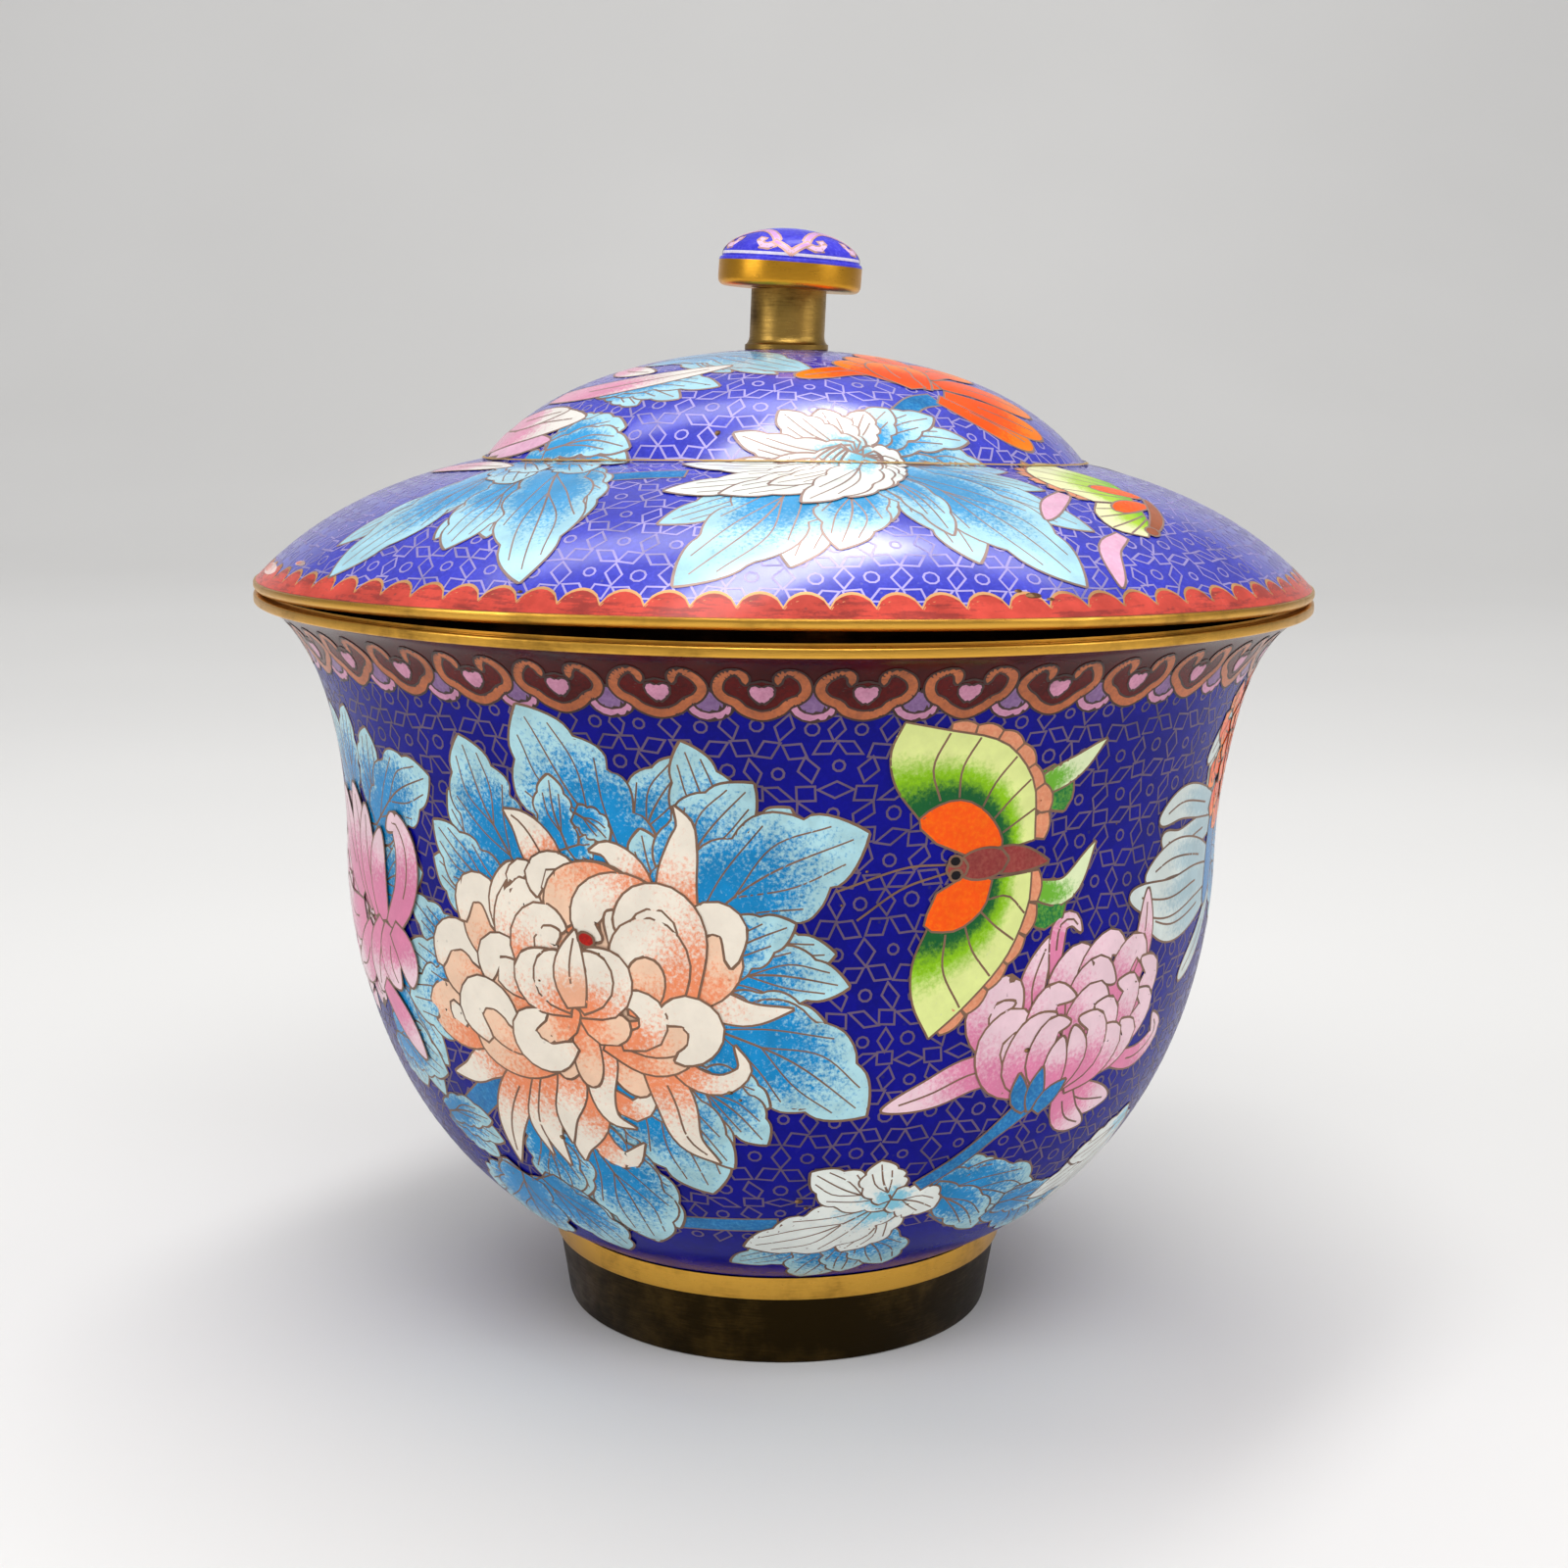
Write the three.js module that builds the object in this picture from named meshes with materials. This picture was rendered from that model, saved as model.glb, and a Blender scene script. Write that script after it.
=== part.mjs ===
// Cloisonne lidded urn: an enamelled copper bowl on a brass foot ring, under a domed enamelled lid
// that lifts off by its knob. Millimetres, +Z up. The foot stands on z = 0 and the front faces -Y.
import * as THREE from "three";

// Fits between pieces
const SEAT_GAP = 0.3; // between two pieces that touch
const COLLAR_CLEARANCE = 2; // between the lid's collar and the inside of the bowl's mouth

// Bowl
const RIM_RADIUS = 100; // outside of the gilt edge
const RIM_HEIGHT = 140.8; // top of the gilt edge above the ground
const RIM_EDGE = 1.7; // height of the gilt edge
const RIM_LIP = 1.1; // how far the gilt edge stands out from the enamel
const RIM_ROUND = 0.35; // rounding of the gilt edge
const BOWL_WALL = 2.4; // copper with enamel on both faces
const BELLY_RADIUS = 83.7;
const BELLY_HEIGHT = 92; // where the wall is upright, above the ground
const BOWL_UNDERSIDE = 8; // lowest point of the bowl above the ground
const BOTTOM_SPREAD = 64.4; // how far the nearly flat bottom pulls the curve outwards
const BELLY_PULL = 37; // how far the upright wall pulls the lower curve down
const FLARE_PULL = 25.6; // how far the upright wall pulls the flare up
const FLARE_LEAN = 8.7; // how far the flare runs outwards just below the gilt edge
const FLARE_DROP = 3.5; // how far it falls over that run

// Foot ring
const FOOT_RADIUS = 41.8; // outside, just above the ground
const FOOT_BAND_RADIUS = 44.6; // outside of the gilt band under the bowl
const FOOT_BAND_HEIGHT = 13.4; // lower edge of the gilt band above the ground
const FOOT_BAND_STEP = 0.8; // how far the gilt band stands out from the wall below it
const FOOT_WALL = 2.3;
const FOOT_ROUND = 0.7; // rounding where the wall meets the ground

// Lid
const LID_EDGE = 1.9; // height of the lid's gilt edge
const LID_CHAMFER = 0.8; // bevel under the gilt edge
const LID_LIP = 0.5; // how far the gilt edge stands out from the enamel
const LID_EDGE_WIDTH = 3.2; // flat underside of the gilt edge, bevel included
const LID_WALL = 2.2;
const CREASE_RADIUS = 57; // valley between the lower slope and the upper dome
const CREASE_HEIGHT = 23.6; // above the lid's lower edge
const DOME_HEIGHT = 43.6; // above the lid's lower edge
const SLOPE_AT_CREASE = 0.2; // fall of the lower slope for each mm outwards, at the crease
const SLOPE_AT_EDGE = 1.1; // the same at the gilt edge
const DOME_SLOPE_AT_CREASE = 1.3; // fall of the upper dome where it ends at the crease
const LID_WARP = 2.4; // how much higher the lid's edge lies at front and back than at the sides
const WARP_FADE = 30; // radius within which the warp dies out towards the knob

// Lid collar, which locates the lid in the bowl's mouth
const COLLAR_WALL = 1.5;
const COLLAR_DEPTH = 6; // below the lid's lower edge

// Knob
const STEM_RADIUS = 7.1;
const STEM_BASE_RADIUS = 7.9;
const STEM_BASE_HEIGHT = 1.6; // height of the flare at the stem's base
const STEM_HEIGHT = 10;
const STEM_LEAN = THREE.MathUtils.degToRad(2); // the stem leans towards +X
const CAP_RADIUS = 13.5;
const CAP_EDGE = 5.4; // height of the cap's gilt edge
const CAP_EDGE_TAPER = 0.5; // how much smaller the cap is above its edge
const CAP_UNDERCUT = 1.6; // rounding under the edge
const CAP_DOME = 5.9; // rise of the enamelled dome above the edge
const CAP_LEAN = THREE.MathUtils.degToRad(3.5); // the cap leans a little more than the stem

// Fineness of the facets
const TURN_STEPS = 60;
const KNOB_TURN_STEPS = 28;
const LOWER_CURVE_STEPS = 9;
const FLARE_CURVE_STEPS = 6;
const SLOPE_CURVE_STEPS = 6;
const DOME_CURVE_STEPS = 7;
const CAP_CURVE_STEPS = 6;

const point = (radius, height) => new THREE.Vector2(radius, height);

// Offset of an open outline to its left, the inner face of a wall whose outer face runs upwards.
function innerFace(outline, wall) {
  const last = outline.length - 1;
  return outline.map((here, i) => {
    const before = outline[Math.max(i - 1, 0)];
    const after = outline[Math.min(i + 1, last)];
    const along = after.clone().sub(before).normalize();
    const inner = point(here.x - along.y * wall, here.y + along.x * wall);
    inner.x = i === 0 || i === last ? Math.max(inner.x, 0) : inner.x;
    return inner;
  });
}

// The first point of an outline where one of its coordinates has a given value.
function meet(outline, coordinate, value) {
  const i = outline.findIndex((here, k) => {
    const next = outline[k + 1];
    return next && (here[coordinate] - value) * (next[coordinate] - value) <= 0;
  });
  const [a, b] = [outline[i], outline[i + 1]];
  const share = (value - a[coordinate]) / (b[coordinate] - a[coordinate]);
  return a.clone().lerp(b, share);
}

// The point of an outline at a given radius, dropped by the gap that touching pieces keep.
function seatUnder(outline, radius) {
  const touch = meet(outline, "x", radius);
  return point(radius, touch.y - SEAT_GAP);
}

// A turned solid from a closed profile that runs up its outside and down its inside.
function turned(profile, steps) {
  const geometry = new THREE.LatheGeometry(profile, steps);
  return geometry.rotateX(Math.PI / 2);
}

// The lid is out of true: its edge rises at front and back and dips at the sides.
const warpRise = (x, y) => (0.5 * LID_WARP * (y * y - x * x)) / (x * x + y * y + WARP_FADE ** 2);

function warped(geometry) {
  const places = geometry.getAttribute("position");
  for (let i = 0; i < places.count; i += 1) {
    const rise = warpRise(places.getX(i), places.getY(i));
    places.setZ(i, places.getZ(i) + rise);
  }
  return geometry;
}

function piece(name, geometry, colour, roughness, metalness) {
  const material = new THREE.MeshStandardMaterial({ color: colour, roughness, metalness });
  const mesh = new THREE.Mesh(geometry, material);
  mesh.name = name;
  return mesh;
}

// Outer face of the bowl from the middle of its underside to the gilt edge
const enamelTop = point(RIM_RADIUS - RIM_LIP, RIM_HEIGHT - RIM_EDGE);
const bowlLower = new THREE.CubicBezierCurve(
  point(0, BOWL_UNDERSIDE),
  point(BOTTOM_SPREAD, BOWL_UNDERSIDE),
  point(BELLY_RADIUS, BELLY_HEIGHT - BELLY_PULL),
  point(BELLY_RADIUS, BELLY_HEIGHT),
).getPoints(LOWER_CURVE_STEPS);
const bowlFlare = new THREE.CubicBezierCurve(
  point(BELLY_RADIUS, BELLY_HEIGHT),
  point(BELLY_RADIUS, BELLY_HEIGHT + FLARE_PULL),
  point(enamelTop.x - FLARE_LEAN, enamelTop.y - FLARE_DROP),
  enamelTop,
).getPoints(FLARE_CURVE_STEPS);
const bowlOuter = [...bowlLower, ...bowlFlare.slice(1)];
const bowlInner = innerFace(bowlOuter, BOWL_WALL);

function bowl() {
  const mouth = bowlInner.at(-1);
  const gilt = [
    point(RIM_RADIUS - RIM_ROUND, enamelTop.y),
    point(RIM_RADIUS, enamelTop.y + RIM_ROUND),
    point(RIM_RADIUS, RIM_HEIGHT - RIM_ROUND),
    point(RIM_RADIUS - RIM_ROUND, RIM_HEIGHT),
    point(mouth.x, RIM_HEIGHT),
  ];
  const inside = bowlInner.slice(0, -1).reverse();
  inside[inside.length - 1].x = 0;
  return turned([...bowlOuter, ...gilt, ...inside], TURN_STEPS);
}

function footRing() {
  const wallTop = FOOT_BAND_RADIUS - FOOT_BAND_STEP;
  const profile = [
    point(FOOT_RADIUS - FOOT_ROUND, 0),
    point(FOOT_RADIUS, FOOT_ROUND),
    point(wallTop, FOOT_BAND_HEIGHT),
    point(FOOT_BAND_RADIUS, FOOT_BAND_HEIGHT + FOOT_BAND_STEP),
    seatUnder(bowlLower, FOOT_BAND_RADIUS),
    seatUnder(bowlLower, wallTop - FOOT_WALL),
    point(FOOT_RADIUS - FOOT_WALL, 0),
  ];
  profile.push(profile[0].clone());
  return turned(profile, TURN_STEPS);
}

// Outer face of the lid, from the gilt edge up to the middle, in heights above its lower edge
const lidEnamel = point(RIM_RADIUS - LID_LIP, LID_EDGE);
const crease = point(CREASE_RADIUS, CREASE_HEIGHT);

// Where a line that falls at one slope from the crease meets one that falls at another to the edge
function slopeControl() {
  const run = lidEnamel.x - crease.x;
  const fall = crease.y - lidEnamel.y;
  const reach = (SLOPE_AT_EDGE * run - fall) / (SLOPE_AT_EDGE - SLOPE_AT_CREASE);
  return point(crease.x + reach, crease.y - SLOPE_AT_CREASE * reach);
}

function domeControl() {
  const reach = (DOME_HEIGHT - crease.y) / DOME_SLOPE_AT_CREASE;
  return point(crease.x - reach, DOME_HEIGHT);
}

const lidSlope = new THREE.QuadraticBezierCurve(lidEnamel, slopeControl(), crease).getPoints(
  SLOPE_CURVE_STEPS,
);
const lidDome = new THREE.QuadraticBezierCurve(
  crease,
  domeControl(),
  point(0, DOME_HEIGHT),
).getPoints(DOME_CURVE_STEPS);
const lidOuter = [...lidSlope, ...lidDome.slice(1)];
const lidInner = innerFace(lidOuter, LID_WALL);

// The lid rests where its warped edge is lowest, at its two sides.
const lidBase = RIM_HEIGHT + SEAT_GAP - warpRise(RIM_RADIUS, 0);

function lid() {
  const underside = RIM_RADIUS - LID_EDGE_WIDTH;
  const inside = lidInner.filter((inner) => inner.x < underside).reverse();
  const gilt = [
    meet(lidInner, "x", underside),
    point(underside, 0),
    point(RIM_RADIUS - LID_CHAMFER, 0),
    point(RIM_RADIUS, LID_CHAMFER),
    point(RIM_RADIUS, LID_EDGE - RIM_ROUND),
  ];
  inside[0].x = 0;
  const profile = [...inside, ...gilt, ...lidOuter];
  return warped(turned(profile, TURN_STEPS));
}

// The collar hangs from the lid's inner face and clears the bowl's where it reaches lowest.
function lidCollar() {
  const lowest = lidBase + warpRise(RIM_RADIUS, 0) - COLLAR_DEPTH;
  const outside = meet(bowlInner, "y", lowest).x - COLLAR_CLEARANCE;
  const inside = outside - COLLAR_WALL;
  const profile = [
    point(inside, -COLLAR_DEPTH),
    point(outside, -COLLAR_DEPTH),
    seatUnder(lidInner, outside),
    seatUnder(lidInner, inside),
    point(inside, -COLLAR_DEPTH),
  ];
  return warped(turned(profile, TURN_STEPS));
}

function knobStem() {
  const profile = [
    point(0, 0),
    point(STEM_BASE_RADIUS, 0),
    point(STEM_RADIUS, STEM_BASE_HEIGHT),
    point(STEM_RADIUS, STEM_HEIGHT),
    point(0, STEM_HEIGHT),
  ];
  const lean = new THREE.Matrix4().makeShear(0, 0, 0, 0, Math.tan(STEM_LEAN), 0);
  return turned(profile, KNOB_TURN_STEPS).applyMatrix4(lean);
}

function knobCap() {
  const domeRadius = CAP_RADIUS - CAP_EDGE_TAPER;
  const edgeFoot = new THREE.QuadraticBezierCurve(
    point(CAP_RADIUS - CAP_UNDERCUT, 0),
    point(CAP_RADIUS, 0),
    point(CAP_RADIUS, CAP_UNDERCUT),
  ).getPoints(CAP_CURVE_STEPS / 2);
  const dome = Array.from({ length: CAP_CURVE_STEPS + 1 }, (_, i) => {
    const angle = (i / CAP_CURVE_STEPS) * (Math.PI / 2);
    return point(domeRadius * Math.cos(angle), CAP_EDGE + CAP_DOME * Math.sin(angle));
  });
  dome[CAP_CURVE_STEPS].x = 0;
  const edgeTop = point(CAP_RADIUS, CAP_EDGE - CAP_EDGE_TAPER);
  return turned([point(0, 0), ...edgeFoot, edgeTop, ...dome], KNOB_TURN_STEPS);
}

const urn = new THREE.Group();
urn.add(piece("bowl", bowl(), "#151a9c", 0.22, 0.1));
urn.add(piece("foot_ring", footRing(), "#6b5220", 0.45, 0.9));

const lidGroup = new THREE.Group();
lidGroup.position.z = lidBase;
lidGroup.add(piece("lid", lid(), "#2f35c4", 0.22, 0.1));
lidGroup.add(piece("lid_collar", lidCollar(), "#5a441c", 0.5, 0.9));

const knob = new THREE.Group();
knob.position.z = DOME_HEIGHT + SEAT_GAP;
knob.add(piece("knob_stem", knobStem(), "#8a6c2c", 0.4, 0.9));
const cap = piece("knob_cap", knobCap(), "#3a35b8", 0.25, 0.2);
cap.position.set(
  STEM_HEIGHT * Math.tan(STEM_LEAN),
  0,
  STEM_HEIGHT + SEAT_GAP + STEM_RADIUS * Math.sin(CAP_LEAN),
);
cap.rotation.y = CAP_LEAN;
knob.add(cap);
lidGroup.add(knob);
urn.add(lidGroup);

export default urn;
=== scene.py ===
"""Cloisonne lidded urn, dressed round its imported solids: fired enamel, laid wires and gilt edges."""

import math
import random

import bmesh
import bpy
from mathutils import Matrix, Vector, geometry


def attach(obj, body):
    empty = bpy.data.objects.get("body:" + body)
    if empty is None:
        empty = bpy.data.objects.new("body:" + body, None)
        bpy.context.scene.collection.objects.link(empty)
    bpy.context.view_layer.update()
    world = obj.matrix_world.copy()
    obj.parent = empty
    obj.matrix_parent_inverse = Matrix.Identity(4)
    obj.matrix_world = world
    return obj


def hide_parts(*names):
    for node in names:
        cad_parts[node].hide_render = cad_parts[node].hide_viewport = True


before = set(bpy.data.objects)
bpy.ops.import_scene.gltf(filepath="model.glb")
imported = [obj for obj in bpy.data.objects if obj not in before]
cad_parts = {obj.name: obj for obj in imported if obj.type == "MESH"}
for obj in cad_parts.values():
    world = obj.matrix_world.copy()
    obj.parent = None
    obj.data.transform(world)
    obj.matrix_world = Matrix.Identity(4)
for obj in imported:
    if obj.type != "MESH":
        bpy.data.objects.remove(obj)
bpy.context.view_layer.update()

bl_info = {
    "name": "Cloisonne lidded urn",
    "version": (1, 0, 0),
    "blender": (4, 5, 0),
    "location": "View3D > Sidebar > Urn",
    "description": "Builds an enamelled lidded urn with flowers drawn in wire",
    "category": "Add Mesh",
}

# Lengths are written in millimetres and turned into metres when a piece is placed.
MM = 0.001

# Bowl, as in the solid
RIM_RADIUS = 100
RIM_HEIGHT = 140.8
RIM_ROUND = 0.35
BOWL_WALL = 2.4
BOWL_CURVE = ((0, 8), (64.4, 8), (83.7, 55), (83.7, 92))
FLARE_CURVE = ((83.7, 92), (83.7, 117.6), (90.2, 135.6), (98.9, 139.1))

# Foot ring
FOOT_RADIUS = 41.8
FOOT_BAND_RADIUS = 44.6
FOOT_BAND_HEIGHT = 13.4
FOOT_BAND_STEP = 0.8
FOOT_WALL = 2.3
FOOT_ROUND = 0.7

# Lid, in heights above its lower edge
LID_BASE = 142.2
LID_EDGE = 1.9
LID_CHAMFER = 0.8
LID_EDGE_WIDTH = 3.2
LID_WALL = 2.2
SLOPE_CURVE = ((99.5, 1.9), (84.66, 18.07), (57, 23.6))
DOME_CURVE = ((57, 23.6), (41.62, 43.6), (0, 43.6))
LID_WARP = 2.4
WARP_FADE = 30
COLLAR_OUTSIDE = 89.1
COLLAR_WALL = 1.5
COLLAR_DEPTH = 6

# Knob
STEM_RADIUS = 7.1
STEM_BASE_RADIUS = 7.9
STEM_HEIGHT = 10
STEM_SUNK = 0.9
STEM_SEAT = 0.6
STEM_LEAN = math.radians(2)
CAP_RADIUS = 13.5
CAP_EDGE = 5.4
CAP_EDGE_TAPER = 0.5
CAP_UNDERCUT = 1.6
CAP_DOME = 5.9
CAP_LEAN = math.radians(3.5)
SEAT_GAP = 0.3

# Marks of the turned pieces
CORNER = 0.2
BORDER_BOTTOM = 131.5
BORDER_REACH = 90
FOOT_BAND_REACH = 43
TURN_STEPS = 256
FOOT_STEPS = 160
CAP_STEPS = 128
STEM_STEPS = 96

# Flat charts: along x a length is a real one where the face has this radius
CHART_RADIUS = 84
CAP_CHART_RADIUS = 13
CHART_START = 44.4
LEAST_RADIUS = 0.5
CLAIM_CELL = 1.8
AROUND = math.tau * CHART_RADIUS

# Layers of the inlay
WIRE_LIFT = 0.02
LAYER_BASE = 0.035
LAYER_STEP = 0.012
FIELD_LIFT = 0.005
VEIN_LIFT = 0.009
CELL = 1.5
TIP_EASE = 1.5
LEAF_BEND = 0.07

# Side veins of a leaf's lobe: where one starts and ends along the midrib, and its reach aside
LARGE_LOBE_VEINS = ((0.1, 0.6, 0.62), (0.34, 0.86, 0.5))
SMALL_LOBE_VEINS = ((0.2, 0.75, 0.5),)
LARGE_LOBE = 9

# Ground pattern and borders
ROW_STEP = 0.866
CIRCLE_RADIUS = 1.25
DIAMOND_LENGTH = 0.52
DIAMOND_WIDTH = 0.2
ZONE = 20
RUYI_START = -3
CREASE = 48.1
CREASE_WIRE = 0.8
CREASE_LIFT = 0.45
SCALLOP_RISE = 3.0

# Finishes. Scales are cycles of the noise in a metre.
GRAIN_SCALE = 1500
WING_GRAIN_SCALE = 1300
CLOUD_SCALE = 190
BROAD_SCALE = 45
PIT_SCALE = 420
PIT_AREA_SCALE = 260
GLAZE_STREAK_SCALE = 90
GLAZE_STRETCH = 9
TARNISH_SCALE = 70
SCRATCH_SCALE = 260
SCRATCH_STRETCH = 14
PIT_COLOUR = (0.035, 0.03, 0.03)
RELIEF_DEPTH = 0.0002


def shade(red, green, blue):
    """A colour read as screen values from 0 to 255, as the linear colour that Blender mixes."""
    parts = [c / 255 for c in (red, green, blue)]
    return tuple(p / 12.92 if p <= 0.04045 else ((p + 0.055) / 1.055) ** 2.4 for p in parts)


class UrnSizes(bpy.types.PropertyGroup):
    wire: bpy.props.FloatProperty(
        name="Wire width", description="Width of a laid wire", default=0.38 * MM, unit="LENGTH")
    cell_pitch: bpy.props.FloatProperty(
        name="Ground pitch", description="Distance between circles of the ground pattern",
        default=8.9 * MM, unit="LENGTH")
    ruyi_heads: bpy.props.IntProperty(
        name="Ruyi heads", description="Heads round the bowl's border", default=35)
    scallops: bpy.props.IntProperty(
        name="Lid scallops", description="Scallops round the lid's border", default=86)


def colour_property(name, description, default):
    return bpy.props.FloatVectorProperty(
        name=name, description=description, default=default, subtype="COLOR", size=3)


class UrnColours(bpy.types.PropertyGroup):
    ground: colour_property("Bowl ground", "Blue enamel of the bowl", shade(8, 8, 128))
    # The lid's blue is lighter than the bowl's: painted light from above on the lid.
    lid_ground: colour_property("Lid ground", "Blue enamel of the lid", shade(34, 40, 190))
    lining: colour_property("Lining", "Plain enamel of the hidden faces", shade(40, 150, 190))
    turquoise: colour_property("Leaf blue", "Middle of the leaves", shade(12, 134, 196))
    aqua: colour_property("Leaf edge", "Pale edge of the leaves", shade(172, 214, 222))
    cream: colour_property("Petal cream", "Tips of the large flower", shade(240, 230, 214))
    salmon: colour_property("Petal salmon", "Bases of the large flower", shade(240, 142, 98))
    pink: colour_property("Petal pink", "Body of the pink flowers", shade(226, 130, 168))
    rose: colour_property("Petal rose", "Pale tips of the pink flowers", shade(240, 206, 216))
    maroon: colour_property("Border ground", "Red of the bowl's border", shade(70, 10, 8))
    brass: colour_property("Gilt", "Bright gilt of the edges", shade(225, 170, 70))


# Enamels: base and tip colour, then blend, grain, mottle, pits and gloss as enamel() takes them.
# A colour is screen values, or the name of one of the urn's colours.

STAIN_LOOKS = ((0.2, 0.8, 0.9), 1, 0.8, 1)
ENAMELS = {
    "bowl ground": ("ground", (14, 14, 150), 0.25, 0.5, 0.3, 0.5, 0.06),
    # The lid ground's lighter blue is painted light from above.
    "lid ground": ("lid_ground", (66, 74, 224), 0.3, 0.5, 0.25, 0.5, 0.7),
    "lining": ("lining", (70, 175, 205), 0.3, 0.5, 0.3, 0.4),
    "border ground": ("maroon", (58, 14, 16), 0.35, 0.6, 0.5, 0.5),
    "cap ground": ((62, 58, 205), (100, 98, 232), 0.3, 0.5, 0.3, 0.3),
    "leaf": ("turquoise", "aqua", (0.26, 1.06, 0.36), 0.85, 0.3, 0.3),
    "lid leaf": ((40, 160, 222), (176, 226, 242), (0.3, 0.9, 0.45), 0.7, 0.25, 0.3, 0.6),
    "white leaf": ((130, 205, 228), (240, 245, 238), (0.05, 0.5, 0.6), 0.6, 0.15, 0.3, 0.35),
    "stem": ((24, 110, 175), (70, 160, 205), 0.3, 0.6, 0.4, 0.2),
    "large petal": ("salmon", "cream", (0.0, 0.66, 0.0), 0.7, 0.12),
    "large hood": ("salmon", "cream", (-0.1, 0.62, 0.0), 0.7, 0.12),
    "large body": ("salmon", (242, 202, 172), (-0.1, 0.85, 0.0), 0.7, 0.15),
    "large heart": ((238, 176, 142), "cream", (0.0, 0.6, 0.0), 0.6, 0.12),
    "large cream": ((238, 196, 168), "cream", (-0.3, 0.3, 0.0), 0.6, 0.1),
    "red speck": ((190, 30, 20), (150, 20, 20), 0.4, 0.6, 0.3, 0.2),
    "pink petal": ("pink", "rose", (0.1, 0.85, 0.0), 0.5, 0.15),
    "pink hood": ("pink", "rose", (0.1, 0.7, 0.0), 0.5, 0.15),
    "pale petal": ((168, 194, 202), (214, 224, 220), (0.2, 0.8, 0.3), 0.5, 0.15),
    "orange petal": ((250, 84, 10), (255, 130, 20), (0.2, 0.9, 0.0), 0.6, 0.2, 0.3),
    "blush petal": ((238, 150, 186), (250, 244, 236), (0.2, 0.75, 0.2), 0.5, 0.12, 0.25, 0.5),
    "bud": ((240, 178, 210), (246, 200, 222), 0.4, 0.5, 0.2, 0.2, 0.5),
    "wing green": ((28, 120, 60), (110, 175, 60), 0.4, 0.7, 0.3, 0.2),
    "wing tail": ((110, 180, 50), (226, 238, 190), (0.1, 0.6, 0.3), 0.5, 0.1, 0.2),
    "wing trim": ((226, 140, 104), (236, 170, 130), 0.4, 0.5, 0.2, 0.2),
    "wing orange": ((252, 84, 4), (255, 130, 0), 0.3, 0.5, 0.1, 0.2),
    "butterfly body": ((140, 52, 52), (160, 80, 70), 0.4, 0.6, 0.3, 0.2),
    "butterfly eye": ((18, 14, 18), (40, 24, 24), 0.2, 0.4, 0.2, 0.2),
    "small body": ((168, 92, 60), (150, 90, 64), 0.4, 0.6, 0.3, 0.2),
    "ruyi": ((186, 106, 66), (160, 92, 66), 0.4, 0.7, 0.4, 0.3),
    "ruyi inside": ((92, 14, 12), (66, 14, 16), 0.4, 0.7, 0.5, 0.4),
    "ruyi heart": ((214, 150, 178), (190, 120, 150), 0.4, 0.5, 0.3, 0.2),
    "lilac scallop": ((126, 92, 140), (150, 118, 160), 0.4, 0.5, 0.3, 0.2),
    "pink scallop": ((206, 146, 176), (190, 126, 158), 0.4, 0.5, 0.3, 0.2),
    "scallop": ((208, 78, 66), (166, 66, 60), "streaks", 0.5, 0.4, 0.5),
    "cap scroll": ((214, 160, 220), (236, 196, 226), (0.2, 0.8, 0.3), 0.4, 0.1, 0.2),
    "cap fringe": ((214, 206, 236), (240, 236, 236), 0.4, 0.5, 0.2, 0.2),
    "bowl_stains": ((150, 116, 74), (84, 58, 40), *STAIN_LOOKS),
    "lid_stains": ((150, 116, 74), (84, 58, 40), *STAIN_LOOKS),
    "lid_rubbed": ((214, 130, 116), (216, 186, 180), *STAIN_LOOKS),
}

# Metals: bright colour, tarnished colour and how much is tarnished
METALS = {
    "gilt edge": ("brass", (120, 88, 34), 0.25),
    # Foot wall: dark tarnished brass, darker still as painted shade under the gilt band.
    "foot wall brass": ((96, 74, 34), (44, 33, 14), 0.7),
    # Collar: dark brass, made near-black as painted shade of the gap under the lid.
    "collar brass": ((70, 50, 24), (26, 18, 10), 0.7),
    "stem brass": ((176, 140, 70), (84, 62, 26), 0.5),
    "cap gilt": ((222, 160, 48), (150, 104, 34), 0.15),
}
WIRES = {
    "bowl": (132, 98, 76), "bowl ground": (104, 84, 112), "lid ground": (178, 166, 226),
    "lid": (170, 140, 130), "border dark": (64, 40, 34), "border": (226, 170, 110),
    "crease": (200, 160, 90), "cap": (220, 170, 150),
}


# Shapes of the turned pieces

def bezier(controls, share):
    points = [Vector(c) for c in controls]
    while len(points) > 1:
        points = [a.lerp(b, share) for a, b in zip(points, points[1:])]
    return points[0]


def run(controls, steps):
    return [bezier(controls, i / steps) for i in range(steps + 1)]


def inner_face(outline, wall):
    """The inner face of a wall whose outer face runs upwards."""
    last = len(outline) - 1
    face = []
    for i, here in enumerate(outline):
        along = (outline[min(i + 1, last)] - outline[max(i - 1, 0)]).normalized()
        face.append(Vector((max(here.x - along.y * wall, 0), here.y + along.x * wall)))
    return face


def height_at(outline, radius):
    for a, b in zip(outline, outline[1:]):
        if (a.x - radius) * (b.x - radius) <= 0 and a.x != b.x:
            return a.lerp(b, (radius - a.x) / (b.x - a.x)).y
    raise ValueError("no point of the outline has that radius")


def warp_rise(x, y):
    """How much the lid, which is out of true, stands above or below a level one."""
    return 0.5 * LID_WARP * (y * y - x * x) / (x * x + y * y + WARP_FADE ** 2)


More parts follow.
